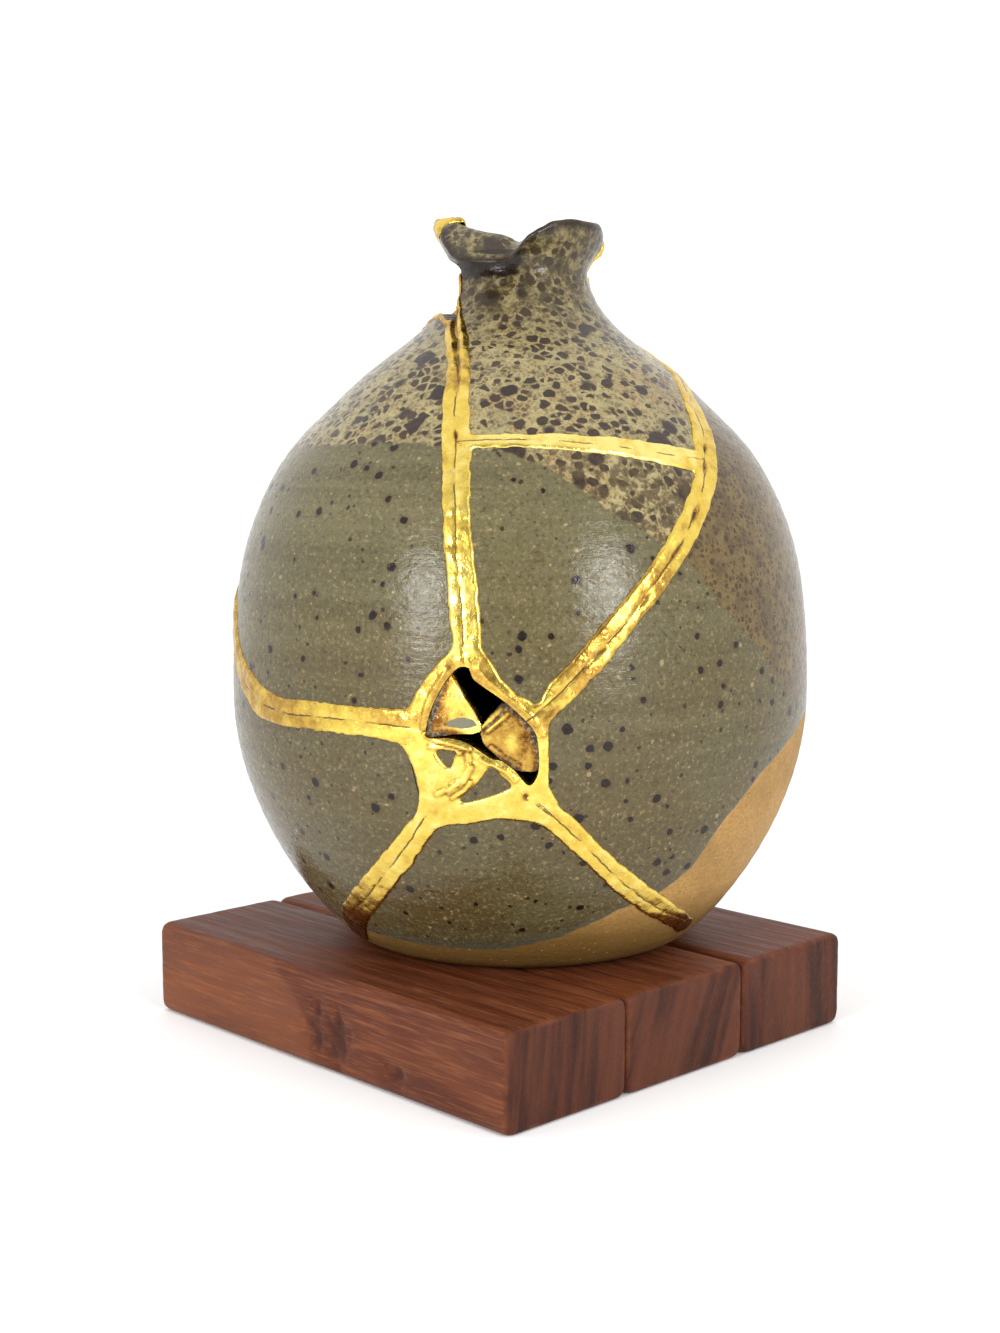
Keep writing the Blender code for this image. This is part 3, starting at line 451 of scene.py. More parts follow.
def thrown_vessel():
    """The whole hollow vase as thrown: one ring drawn up, over the lip and down inside."""
    deselect_all()
    under = ((0.0, 30.0), (0.0, 50.0), (0.0, 60.5))
    bpy.ops.mesh.primitive_circle_add(
        vertices=AROUND, radius=30.0, fill_type="NOTHING", location=(0.0, 0.0, 0.0))
    vessel = bpy.context.object
    vessel.name = "vessel"
    edit_mode(True)
    bpy.ops.mesh.select_all(action="SELECT")
    was = under[0]
    drawn = list(under[1:]) + list(PROFILE)
    for height, radius in drawn + list(FLARED) + inner_rings():
        was = next_ring(height, radius, was)
    bpy.ops.mesh.extrude_edges_move(TRANSFORM_OT_translate={"value": (0.0, 0.0, 0.0)})
    bpy.ops.mesh.merge(type="CENTER")
    edit_mode(False)
    # Close the underside, wave the lip, and stand the vase in its place.
    bm = bmesh.new()
    bm.from_mesh(vessel.data)
    bm.verts.ensure_lookup_table()
    middle = bm.verts.new((0.0, 0.0, 0.0))
    for edge in [e for e in bm.edges if e.is_boundary]:
        bm.faces.new((edge.verts[0], edge.verts[1], middle))
    lip = {round(z, 1): k for k, (z, r) in enumerate(FLARED)}
    for vert in bm.verts:
        k = lip.get(round(vert.co.z, 1))
        r = math.hypot(vert.co.x, vert.co.y)
        turned = math.degrees(math.atan2(vert.co.y, vert.co.x))
        z = vert.co.z
        if k is not None and abs(r - FLARED[k][1]) < 0.05:
            z, r = lip_section(turned)[k]
        vert.co = place(turned, r, z)
    bmesh.ops.recalc_face_normals(bm, faces=bm.faces)
    bm.to_mesh(vessel.data)
    bm.free()
    curve = vessel.modifiers.new("smooth", "SUBSURF")
    curve.levels = 2
    curve.render_levels = 2
    apply_modifiers(vessel)
    co = read_points(vessel.data)
    angle, r, z = unplace_many(co)
    wobble = 0.25 * value_noise(co, 46.0, 3) + 0.10 * value_noise(co, 15.0, 4)
    rings_cut = 0.07 * np.sin(z * 2.0 * math.pi / 7.3 + 1.3 * value_noise(co, 60.0, 5))
    change = np.where(z > 1.0, wobble + rings_cut, 0.0)
    a = np.radians(FRONT_AZIMUTH + angle)
    co[:, 0] += change * np.cos(a)
    co[:, 1] += change * np.sin(a)
    write_points(vessel.data, co)
    return vessel


def ribbon(outer, inner, width):
    """Thin closed strip between two lines, as a cutter."""
    points = []
    count = len(outer)
    for i in range(count):
        ahead = outer[min(i + 1, count - 1)] + inner[min(i + 1, count - 1)]
        behind = outer[max(i - 1, 0)] + inner[max(i - 1, 0)]
        across = (ahead - behind).cross(inner[i] - outer[i]).normalized() * (width / 2.0)
        points += [outer[i] - across, outer[i] + across, inner[i] + across, inner[i] - across]
    faces = []
    for i in range(count - 1):
        for k in range(4):
            m = (k + 1) % 4
            faces.append((i * 4 + k, i * 4 + m, i * 4 + 4 + m, i * 4 + 4 + k))
    last = (count - 1) * 4
    faces.append((3, 2, 1, 0))
    faces.append((last, last + 1, last + 2, last + 3))
    return outward(link_mesh("crack", points, faces), True)


def crack_reach(z):
    """Radii that a crack's cutter reaches outside and inside the wall at a height."""
    if z > 262.0:
        return 46.0, 10.0
    return outer_radius(z) + 5.0, outer_radius(z) - WALL - 7.0 * (1.0 + abs(wall_slope(z)) ** 0.5)


def crack_sides(path):
    """Points of a crack outside and inside the wall."""
    return ([place(a, crack_reach(z)[0], z) for a, z in path],
            [place(a, crack_reach(z)[1], z) for a, z in path])


def foot_crack():
    """The crack down the lower left, across the floor and up the lower right."""
    outer, inner = crack_sides(CRACK_LOWER_LEFT)
    for angle, r_out, z_out, r_in, z_in in FOOT_CORNERS:
        outer.append(place(-angle, r_out, z_out))
        inner.append(place(-angle, r_in, z_in))
    for forward, side in FLOOR_CRACK:
        angle = math.degrees(math.atan2(side, forward))
        r = math.hypot(side, forward)
        outer.append(place(angle, r, -5.0))
        inner.append(place(angle, r, FLOOR + 6.0))
    for angle, r_out, z_out, r_in, z_in in reversed(FOOT_CORNERS):
        outer.append(place(angle, r_out, z_out))
        inner.append(place(angle, r_in, z_in))
    up_outer, up_inner = crack_sides(CRACK_LOWER_RIGHT[::-1])
    return ribbon(outer + up_outer, inner + up_inner, CRACK)


def wall_prism(name, outline, high, low):
    """Cutter through the wall along an outline, between two radii given by angle and height."""
    count = len(outline)
    points = [place(a, high(a, z), z) for a, z in outline] + [place(a, low(a, z), z) for a, z in outline]
    faces = [tuple(range(count)), tuple(reversed(range(count, 2 * count)))]
    for i in range(count):
        j = (i + 1) % count
        faces.append((j, i, count + i, count + j))
    return outward(link_mesh(name, points, faces), True)


def rounded(outline, spacing):
    """Smooth closed curve through an outline's points, with a point about every spacing millimetres."""
    pts = [Vector((a * DEGREE * outer_radius(min(z, 268.0)), z, 0.0)) for a, z in outline]
    raw = [Vector((a, z, 0.0)) for a, z in outline]
    count = len(raw)
    found = []
    for i in range(count):
        p = [raw[(i + k) % count] for k in (-1, 0, 1, 2)]
        q1 = pts[i]
        q2 = pts[(i + 1) % count]
        parts = max(1, int((q2 - q1).length / spacing + 0.5))
        for n in range(parts):
            t = n / parts
            point = curve_between(p, t)
            found.append((point.x, point.y))
    return found


def cut(obj, cutter):
    """Take a cutter away from a piece and clean up after it."""
    mod = obj.modifiers.new("cut", "BOOLEAN")
    mod.operation = "DIFFERENCE"
    mod.solver = "EXACT"
    mod.object = cutter
    apply_modifiers(obj)
    bpy.data.objects.remove(cutter, do_unlink=True)
    bm = bmesh.new()
    bm.from_mesh(obj.data)
    bmesh.ops.remove_doubles(bm, verts=bm.verts, dist=0.002)
    bmesh.ops.delete(bm, geom=[e for e in bm.edges if not e.link_faces], context="EDGES")
    bmesh.ops.delete(bm, geom=[v for v in bm.verts if not v.link_faces], context="VERTS")
    bm.to_mesh(obj.data)
    bm.free()


def loss_reach(angle, z):
    """Outer radius of the cutter for the neck's lost piece, short of the lip."""
    return min(outer_radius(z) + 6.0, 31.0) if z > 256.0 else outer_radius(z) + 6.0


SHARD_SEEDS = {
    "neck_shard": (20.0, 226.0), "front_shard": (15.0, 165.0), "left_shoulder_shard": (-45.0, 170.0),
    "body_shard": (80.0, 90.0), "foot_shard": (0.0, 30.0), "fragment_flush_left": (-17.0, 88.0),
    "fragment_flush_right": (-6.0, 82.0),
}


def broken_vessel(vessel):
    """Cut the hole, the lost piece of the neck and the cracks, and give each shard its name."""
    cut(vessel, wall_prism("loss", rounded(NECK_LOSS, 1.5), loss_reach, lambda a, z: 10.0))
    cut(vessel, wall_prism("hole", rounded(HOLE, 1.5), lambda a, z: 130.0, lambda a, z: 97.0))
    for path in CRACKS.values():
        cut(vessel, ribbon(*crack_sides(path), CRACK))
    cut(vessel, foot_crack())
    use_object(vessel)
    edit_mode(True)
    bpy.ops.mesh.select_all(action="SELECT")
    bpy.ops.mesh.separate(type="LOOSE")
    edit_mode(False)
    loose = list(bpy.context.selected_objects)
    shards = []
    for name, (angle, z) in SHARD_SEEDS.items():
        target = place(angle, outer_radius(z), z)
        best = min(loose, key=lambda o: (o.closest_point_on_mesh(target)[1] - target).length)
        loose.remove(best)
        best.name = name + "_glazed"
        shards.append((name, best))
    for rest in loose:
        bpy.data.objects.remove(rest, do_unlink=True)
    return shards


# Distances on the unrolled wall: its arc length at each height.

ARC = np.concatenate([[0.0], np.cumsum(np.hypot(np.diff(RADII), np.diff(HEIGHTS)))])


def arc_of(z):
    return np.interp(z, HEIGHTS, ARC)


def height_of(arc):
    return np.interp(arc, ARC, HEIGHTS)


def near_angle(angle, about):
    """The same angle, whole turns away, nearest to another."""
    return angle - 360.0 * np.round((angle - about) / 360.0)


def to_segment(angle, arc, radius, first, second):
    """Distance in millimetres from wall points to a straight piece, and the share along it."""
    along = DEGREE * radius
    turned = near_angle(angle, (first[0] + second[0]) / 2.0)
    x = (turned - first[0]) * along
    y = arc - arc_of(first[1])
    dx = (second[0] - first[0]) * along
    dy = arc_of(second[1]) - arc_of(first[1])
    t = np.clip((x * dx + y * dy) / (dx * dx + dy * dy + 1e-9), 0.0, 1.0)
    return np.hypot(x - t * dx, y - t * dy), t


def path_distance(angle, arc, radius, path):
    best = np.full(angle.shape, 1e3)
    for first, second in zip(path, path[1:]):
        best = np.minimum(best, to_segment(angle, arc, radius, first, second)[0])
    return best


def inside_outline(angle, z, outline):
    inside = np.zeros(angle.shape, dtype=bool)
    turned = near_angle(angle, sum(a for a, h in outline) / len(outline))
    for (a0, z0), (a1, z1) in zip(outline, outline[1:] + outline[:1]):
        across = (z0 > z) != (z1 > z)
        level = np.where(z1 == z0, 1.0, z1 - z0)
        inside ^= across & (turned < a0 + (z - z0) * (a1 - a0) / level)
    return inside


def outline_distance(angle, z, arc, radius, outline):
    """Distance to a closed outline, positive inside it."""
    outline = list(outline)
    far = path_distance(angle, arc, radius, outline + outline[:1])
    return np.where(inside_outline(angle, z, outline), far, -far)


def band_cover(angle, arc, radius, band):
    best = np.full(angle.shape, -1e3)
    for first, second in zip(band, band[1:]):
        far, t = to_segment(angle, arc, radius, first, second)
        best = np.maximum(best, first[2] + (second[2] - first[2]) * t - far)
    return best


def blend_max(a, b, soft):
    """Larger of two fields, with the corner between them filled."""
    h = np.clip(0.5 + 0.5 * (a - b) / soft, 0.0, 1.0)
    return b + (a - b) * h + soft * h * (1.0 - h)


def step(low, high, x):
    t = np.clip((x - low) / (high - low), 0.0, 1.0)
    return t * t * (3.0 - 2.0 * t)


class Wall:
    """Outer face of the vase, to lay things on."""

    def __init__(self, vessel):
        self.tree = BVHTree.FromObject(vessel, bpy.context.evaluated_depsgraph_get())

    def lay(self, angle, z):
        """Points and outward normals for arrays of angles and heights."""
        spots = np.empty((len(angle), 3))
        normals = np.empty((len(angle), 3))
        a = np.radians(FRONT_AZIMUTH + angle)
        reach = outer_radius(z) + 3.4
        for n in range(len(angle)):
            outward_to = Vector((math.cos(a[n]), math.sin(a[n]), 0.0))
            start = Vector((AXIS_X, AXIS_Y, FOOT_Z + z[n])) + outward_to * reach[n]
            hit = self.tree.ray_cast(start, -outward_to)
            spots[n] = hit[0]
            normals[n] = hit[1] if hit[1].dot(outward_to) > 0.0 else -hit[1]
        return spots, normals


def add_values(mesh, values):
    for name, numbers in values.items():
        field = mesh.attributes.new(name, "FLOAT", "POINT")
        field.data.foreach_set("value", np.asarray(numbers, dtype=np.float32))


# Relief meshes: the cover that a grid corner needs, as a share of the pitch, and the underside's depth.
SLIVER = 0.28
UNDERSIDE = 0.45


def cells_with_gold(inner, whole_turn):
    """Cells of the grid with a corner inside, filled in where two of them meet only at a corner."""
    around = np.roll(inner, -1, axis=0)
    kept = (inner | around)[:, :-1] | (inner | around)[:, 1:]
    if not whole_turn:
        kept[-1, :] = False
    for _ in range(3):
        beside = np.roll(kept, -1, axis=0)
        low_left, high_left = kept[:, :-1], kept[:, 1:]
        low_right, high_right = beside[:, :-1], beside[:, 1:]
        slash = low_left & high_right & ~high_left & ~low_right
        back = high_left & low_right & ~low_left & ~high_right
        if not (slash | back).any():
            break
        fill = kept.copy()
        fill[:, 1:] |= slash
        fill[:, :-1] |= back
        kept = fill
    return kept


def cell_sides(kept, quads, whole_turn):
    """Edges of the kept cells, walked so that the cell lies on the left."""
    cols, rows = kept.shape[0], kept.shape[1] + 1
    ci, cj = np.nonzero(kept)
    padded = np.zeros((cols, rows + 1), dtype=bool)
    padded[:, 1:rows] = kept
    sides = []
    for (di, dj), (p, q) in (((0, -1), (0, 1)), ((1, 0), (1, 2)), ((0, 1), (2, 3)), ((-1, 0), (3, 0))):
        beside = padded[(ci + di) % cols, cj + 1 + dj]
        if not whole_turn:
            beside &= ((ci + di) >= 0) & ((ci + di) < cols)
        sides.append(quads[~beside][:, [p, q]])
    return np.concatenate(sides)


def relief(name, wall, angles, arcs, cover_at, shape_at, deep_at, floor_depth):
    """Closed relief over the wall where cover_at is positive, its edge drawn on the contour."""
    cols = len(angles)
    rows = len(arcs)
    angle, arc = np.meshgrid(angles, arcs, indexing="ij")
    z = height_of(arc)
    radius = outer_radius(z)
    cover = cover_at(angle, z, arc, radius)
    gap = np.minimum(np.abs(np.gradient(angle, axis=0)) * DEGREE * radius, arcs[1] - arcs[0])
    inner = cover > SLIVER * gap
    whole_turn = abs(angles[-1] + (angles[1] - angles[0]) - angles[0] - 360.0) < 0.01
    kept = cells_with_gold(inner, whole_turn)
    ci, cj = np.nonzero(kept)
    ni = (ci + 1) % cols
    corner = np.stack([ci * rows + cj, ni * rows + cj, ni * rows + cj + 1, ci * rows + cj + 1], axis=1)
    used, quads = np.unique(corner, return_inverse=True)
    quads = quads.reshape(-1, 4)
    ui, uj = used // rows, used % rows
    a = angles[ui].astype(float)
    s = arcs[uj].astype(float)
    outside = ~inner[ui, uj]

    def field(at, to):
        high = height_of(to)
        return cover_at(at, high, to, outer_radius(high))

    def field_slope(at, to, along, far):
        """The cover at wall points, and how it grows round the wall and up it."""
        here = field(at, to)
        return here, (field(at + far / along, to) - here) / far, (field(at, to + far) - here) / far

    for _ in range(3):
        along = DEGREE * outer_radius(height_of(s[outside]))
        here, ga, gs = field_slope(a[outside], s[outside], along, 0.12)
        size = np.maximum(ga * ga + gs * gs, 0.3)
        pull = np.clip(here, -1.2, 1.2)
        a[outside] -= pull * ga / size / along
        s[outside] -= pull * gs / size
    high = height_of(s)
    r = outer_radius(high)
    lift, values = shape_at(a, high, s, r, np.where(outside, 0.0, field(a, s)))
    spots, normals = wall.lay(a, high)
    sides = cell_sides(kept, quads, whole_turn)
    rim = np.unique(sides)
    order = np.full(len(used), -1)
    order[rim] = np.arange(len(rim))
    deep = deep_at(a[rim], high[rim], s[rim], r[rim])
    here, ga, gs = field_slope(a[rim], s[rim], DEGREE * r[rim], 0.3)
    size = np.maximum(np.hypot(ga, gs), 0.4)
    turn = np.radians(FRONT_AZIMUTH + a[rim])
    sideways = np.stack([-np.sin(turn), np.cos(turn), np.zeros(len(rim))], axis=1)
    upward = np.cross(normals[rim], sideways)
    inward = sideways * (ga / size)[:, None] + upward * (gs / size)[:, None]
    layers = [spots + normals * lift[:, None]]
    # The skirt: at a broken edge it runs down over the wall's thickness and a little inward.
    for shallow, depth, shift in ((-0.16, -1.7, 0.0), (-0.24, floor_depth, 0.0), (-0.32, floor_depth, 0.9)):
        level = np.minimum(lift[rim] - 0.02, shallow * (1.0 - deep) + depth * deep)
        layers.append(spots[rim] + normals[rim] * level[:, None] + inward * (shift * deep)[:, None])
    under = spots - normals * UNDERSIDE
    under[rim] += inward * (0.3 * deep)[:, None]
    layers.append(under)
    count = len(used)
    ring = len(rim)
    points = np.concatenate(layers)
    p, q = sides[:, 0], sides[:, 1]
    starts = [(p, q)]
    for k in range(3):
        starts.append((count + k * ring + order[p], count + k * ring + order[q]))
    base = count + 3 * ring
    starts.append((base + p, base + q))
    faces = [quads]
    for (p0, q0), (p1, q1) in zip(starts, starts[1:]):
        faces.append(np.stack([q0, p0, p1, q1], axis=1))
    faces.append(base + quads[:, ::-1])
    obj = link_mesh(name, points.tolist(), np.concatenate(faces).tolist())
    source = np.concatenate([np.arange(count), rim, rim, rim, np.arange(count)])
    add_values(obj.data, {key: numbers[source] for key, numbers in values.items()})
    return obj


def seam_cover(angle, z, arc, radius):
    """How far inside the gold a wall point lies, without the openings."""
    cover = np.full(angle.shape, -1e3)
    for band in GOLD_BANDS.values():
        cover = blend_max(cover, band_cover(angle, arc, radius, band), 2.2)
    web = outline_distance(angle, z, arc, radius, GOLD_WEB)
    cover = blend_max(cover, web, 2.4)
    loss = outline_distance(angle, z, arc, radius, NECK_LOSS)
    cover = blend_max(cover, 1.5 - np.abs(loss), 0.8)
    flat = unrolled(angle, arc, radius)
    ragged = 0.55 * value_noise(flat, 5.2, 21) + 0.28 * value_noise(flat, 2.1, 22)
    cover = cover + ragged.reshape(angle.shape)
    for window in (BARE_LEFT, BARE_RIGHT):
        cover = np.minimum(cover, -outline_distance(angle, z, arc, radius, rounded(window, 0.7)))
    return cover


HOLE_EDGE = rounded(HOLE, 1.5)
LOSS_EDGE = rounded(NECK_LOSS, 1.5)


def open_distance(angle, z, arc, radius):
    """Distance outside the hole and the lost piece of the neck."""
    hole = -outline_distance(angle, z, arc, radius, HOLE_EDGE)
    loss = -outline_distance(angle, z, arc, radius, LOSS_EDGE)
    return np.minimum(hole, loss)


def gold_cover(angle, z, arc, radius):
    """How far inside the gold a wall point lies, with the openings and the lip left out."""
    cover = seam_cover(angle, z, arc, radius)
    return np.minimum(np.minimum(cover, open_distance(angle, z, arc, radius) + 0.4), GOLD_TOP - z)


def signed_distance(angle, arc, radius, path):
    """Distance to a path, positive on one side of it, so that a thin line can be drawn on it."""
    along = DEGREE * radius
    best = np.full(angle.shape, 1e3)
    for first, second in zip(path, path[1:]):
        far = to_segment(angle, arc, radius, first, second)[0]
        turned = near_angle(angle, (first[0] + second[0]) / 2.0)
        x = (turned - first[0]) * along
        y = arc - arc_of(first[1])
        dx = (second[0] - first[0]) * along
        dy = arc_of(second[1]) - arc_of(first[1])
        side = np.where(x * dy - y * dx >= 0.0, 1.0, -1.0)
        best = np.where(far < np.abs(best), far * side, best)
    return best


def spot_distance(angle, arc, radius, spot):
    """Distance along the wall to one angle and height."""
    return np.hypot((angle - spot[0]) * DEGREE * radius, arc - arc_of(spot[1]))


def crack_distance(angle, arc, radius):
    """Signed distance to the nearest of the cracks that show in the gold."""
    best = np.full(angle.shape, 1e3)
    drawn = [CRACKS[key] for key in ("vertical", "horizontal", "right", "left")]
    for path in drawn + [CRACK_LOWER_LEFT, CRACK_LOWER_RIGHT, CRACK_FROM_POCK]:
        far = signed_distance(angle, arc, radius, path)
        best = np.where(np.abs(far) < np.abs(best), far, best)
    return best


def gold_marks(angle, arc, radius, near, lift, tone):
    """Slots where the lacquer sank into a crack, and welts, a pit and a pock round the hole."""
    for turned, high, long, wide in SUNK_SPOTS:
        away = spot_distance(angle, arc, radius, (turned, high))
        slot = np.exp(-((near / wide) ** 2 + (away / long) ** 2))
        lift = lift - 0.75 * slot
        tone = np.maximum(tone, 1.5 * slot)
    for path, rise, wide in WELTS:
        off = path_distance(angle, arc, radius, path)
        lift = lift + rise * hump(off, wide)
        # Painted shade in a band beside each welt, and a painted highlight on its crest.
        tone = tone + 0.75 * hump(off - 1.5 * wide, 0.6 * wide) - 0.3 * hump(off, wide)
    lift = lift - 0.8 * hump(spot_distance(angle, arc, radius, PIT), 1.3)
    pock = spot_distance(angle, arc, radius, POCK)
    return lift - 0.7 * hump(pock, 1.0), np.maximum(tone, 1.9 * hump(pock, 1.1))


def gold_painted_reflection_and_shade(angle, z, coarse, tone):
    """Painted reflection and shade on the gold: browner above the hole, low on the right, at the foot, round
    the left and on the shoulder, and paler on the level seam.
    """
    over_hole = step(96.0, 104.0, z) * step(134.0, 124.0, z) * step(30.0, 22.0, np.abs(angle + 6.0))
    tone = np.maximum(tone, (0.45 + 0.5 * coarse) * over_hole)
    lower_right = step(172.0, 150.0, z) * step(112.0, 122.0, z) * step(-4.0, 4.0, angle)
    tone = np.maximum(tone, (0.62 + 0.45 * coarse) * lower_right)
    at_foot = step(30.0, 16.0, z)
    tone = np.maximum(tone, 1.15 * at_foot)
    round_left = step(-22.0, -50.0, np.where(angle < 90.0, angle, -90.0))
    tone = np.maximum(tone, 0.62 * round_left + 0.25 * coarse * round_left)
    shoulder = step(30.0, 60.0, angle) * step(120.0, 90.0, angle)
    tone = np.maximum(tone, 0.35 * shoulder)
    level_seam = step(-12.0, -8.0, angle) * step(46.0, 40.0, angle)
    level_seam = level_seam * step(190.0, 194.0, z) * step(208.0, 204.0, z)
    return tone - 0.45 * level_seam


def gold_shape(angle, z, arc, radius, cover):
    """Height of the lacquer over the wall, and its crack and tone."""
    flat = unrolled(angle, arc, radius)
    mouth = open_distance(angle, z, arc, radius)
    crack_far = crack_distance(angle, arc, radius)
    near = np.abs(crack_far)
    coarse = value_noise(flat, 8.5, 31)
    lumps = 0.24 * coarse + 0.20 * value_noise(flat, 3.6, 32) + 0.07 * value_noise(flat, 1.7, 33)
    # The long seam is open high up, a groove between two lips, and closed to a fine line below.
    open_seam = step(212.0, 224.0, z) * step(10.0, -4.0, angle)
    double = 0.45 * hump(near - 2.3, 1.0) - 0.75 * hump(near, 0.9)
    single = -0.22 * hump(near, 0.6)
    seam = open_seam * double + (1.0 - open_seam) * single
    lift = -0.12 + half_round(seam_cover(angle, z, arc, radius), 1.4) * (0.95 + lumps + seam)
    lift = lift - 0.45 * np.exp(-np.maximum(mouth, 0.0) / 0.5)
    # Tone: browner on the open seam, darkest in its gap; on the lumps, crests are painted lighter and hollows
    # darker, as painted light and shade.
    tone = open_seam * (0.50 * hump(near, 0.8) + 0.40) - 1.35 * lumps * (1.0 - 0.8 * open_seam)
    lift, tone = gold_marks(angle, arc, radius, near, lift, tone)
    lift = np.where(cover <= 0.0, np.where(mouth < 0.2, lift, -0.12), lift)
    return lift, {"crack_far": crack_far, "tone": gold_painted_reflection_and_shade(angle, z, coarse, tone)}


def wrapped(angle, z, arc, radius):
    """1 where the lacquer's edge runs over a broken edge of the wall."""
    return step(1.1, 0.6, np.abs(open_distance(angle, z, arc, radius) + 0.4))


def gold_network(wall):
    """The one connected piece of lacquer over the cracks, on a grid that is finer at the front."""
    fine = np.arange(GOLD_SIDES[0], GOLD_SIDES[1], GOLD_PITCH)
    coarse = np.linspace(fine[-1] + GOLD_PITCH, 360.0 + GOLD_SIDES[0], GOLD_BACK_COLUMNS, endpoint=False)
    angles = np.concatenate([fine, coarse])
    arcs = np.arange(4.0, ARC[-1] - 0.5, GOLD_RISE)
    return relief("gold_seam_network", wall, angles, arcs, gold_cover, gold_shape, wrapped, -5.8)


def sunk_piece(name, wall, outline, depth, shape):
    """A small loose fragment under gold, lying deeper than the wall."""
    outline = list(outline)
    edge = rounded(outline, 0.8)
    low = min(a for a, z in outline) - 1.0
    high = max(a for a, z in outline) + 1.0
    bottom = float(arc_of(min(z for a, z in outline))) - 2.0
    top = float(arc_of(max(z for a, z in outline))) + 2.0

    def cover(angle, z, arc, radius):
        ragged = 0.22 * value_noise(unrolled(angle, arc, radius), 2.4, 41).reshape(angle.shape)
        return outline_distance(angle, z, arc, radius, edge) + ragged

    def height(angle, z, arc, radius, inside):
        lift, values = shape(angle, z, arc, radius)
        return lift - 0.8 * (1.0 - half_round(inside, 0.9)) - depth, values

    def deep(angle, z, arc, radius):
        return np.ones(angle.shape)

    return relief(name, wall, np.arange(low, high, 0.16), np.arange(bottom, top, 0.32),
                  cover, height, deep, -depth - 4.6)


def in_shadow(angle, z, arc, radius, tone, lift, where):
    """Browner and deeper where a chip runs under the broken edge of the hole."""
    near = where * hump(np.maximum(-open_distance(angle, z, arc, radius), 0.0), 3.6)
    return np.maximum(tone, tone * 0.4 + 1.55 * near), lift - 1.4 * near


def left_fragment(angle, z, arc, radius):
    """Flat chip with painted shade at its left and a painted highlight along its right edge and its ridge,
    with a grey lens of glaze low down.
    """
    flat = unrolled(angle, arc, radius)
    edge = ((-12.6, 118.4), (-10.6, 110.0), (-7.8, 101.6), (-7.4, 98.0))
    inward = path_distance(angle, arc, radius, edge)
    across = step(9.5, 3.0, inward)
    lumps = 0.20 * value_noise(flat, 3.4, 51) + 0.10 * value_noise(flat, 1.5, 52)
    lift = -2.0 + 2.6 * across + 0.7 * hump(inward - 1.0, 0.9) + lumps
    ridge = path_distance(angle, arc, radius, ((-15.6, 100.4), (-13.4, 101.4), (-10.6, 100.7), (-8.0, 101.6)))
    rib = path_distance(angle, arc, radius, ((-15.8, 105.6), (-13.6, 103.2), (-12.6, 101.8)))
    lens = outline_distance(angle, z, arc, radius, (
        (-13.5, 101.9), (-12.9, 103.6), (-11.6, 104.7), (-10.0, 104.9), (-8.6, 104.0), (-8.1, 102.4),
        (-9.4, 101.6), (-10.8, 101.2)))
    lift = lift + 0.8 * hump(ridge, 0.6) + 0.5 * hump(rib, 0.6) - 0.45 * step(-0.2, 0.4, lens)
    # Painted light and shade: lighter along the right edge and on the ridge, darker away from them.
    tone = 1.35 - 1.3 * across + 0.4 * value_noise(flat, 3.0, 53) - 0.7 * hump(ridge, 0.6)
    tone = tone - 0.6 * hump(inward - 0.8, 0.7)
    tone, lift = in_shadow(angle, z, arc, radius, tone, lift, step(-11.0, -13.5, angle))
    return lift, {"crack_far": np.full(angle.shape, NO_CRACK), "tone": tone, "bare": step(-0.2, 0.3, lens)}


def right_fragment(angle, z, arc, radius):
    """Domed chip with two ridges at its upper left and a hollow at its right; painted highlights on the
    ridges and round one spot, and painted shade beside the ridges and in the hollow.
    """
    flat = unrolled(angle, arc, radius)
    top = path_distance(angle, arc, radius, ((-4.6, 98.0), (-2.0, 104.0)))
    lift = 1.5 - 0.035 * top ** 2 + 0.22 * value_noise(flat, 3.4, 61) + 0.12 * value_noise(flat, 1.5, 62)
    ridges = np.zeros(angle.shape)
    for path, rise in ((((-6.2, 100.6), (-4.4, 103.6), (-2.4, 107.4)), 0.9),
                       (((-7.0, 102.0), (-5.6, 104.6), (-3.9, 108.0)), 0.7),
                       (((-5.6, 94.4), (-3.4, 91.0), (-0.9, 87.9)), 0.7)):
        off = path_distance(angle, arc, radius, path)
        lift = lift + rise * hump(off, 0.55)
        # Painted highlight on each ridge's crest, and painted shade beside it.
        ridges = ridges + 0.7 * hump(off - 1.2, 0.5) - 0.8 * hump(off, 0.6)
    low = path_distance(angle, arc, radius, ((0.6, 101.0), (-0.6, 93.0), (-3.4, 94.5)))
    lift = lift - 1.1 * hump(low, 2.2)
    # Painted highlight round one spot, and painted shade in the hollow.
    bright = spot_distance(angle, arc, radius, (-2.6, 95.5))
    tone = 0.85 - 0.75 * hump(bright, 4.4) + 0.35 * hump(low, 2.6)
    tone = tone + 0.35 * value_noise(flat, 2.6, 63) + ridges
    tone, lift = in_shadow(angle, z, arc, radius, tone, lift, np.ones(angle.shape))
    return lift, {"crack_far": np.full(angle.shape, NO_CRACK), "tone": tone}


def lip_curve(angle, count):
    """Even points and normals along the lip's section, from the neck's outside to its inside."""
    section = [(z, outer_radius(z)) for z in (256.0, 261.0, 265.0, 268.0)] + lip_section(angle)
    section += inner_rings()[:2]
    pts = np.array([(float(r), float(z)) for z, r in section])
    dense = []
    for k in range(len(pts) - 1):
        p = [pts[max(k - 1, 0)], pts[k], pts[k + 1], pts[min(k + 2, len(pts) - 1)]]
        for n in range(10):
            dense.append(curve_between(p, n / 10.0))
    dense = np.array(dense)
    length = np.concatenate([[0.0], np.cumsum(np.hypot(*np.diff(dense, axis=0).T))])
    at = np.linspace(0.0, length[-1], count)
    r = np.interp(at, length, dense[:, 0])
    z = np.interp(at, length, dense[:, 1])
    tr, tz = np.gradient(r), np.gradient(z)
    size = np.hypot(tr, tz)
    return r, z, tz / size, -tr / size


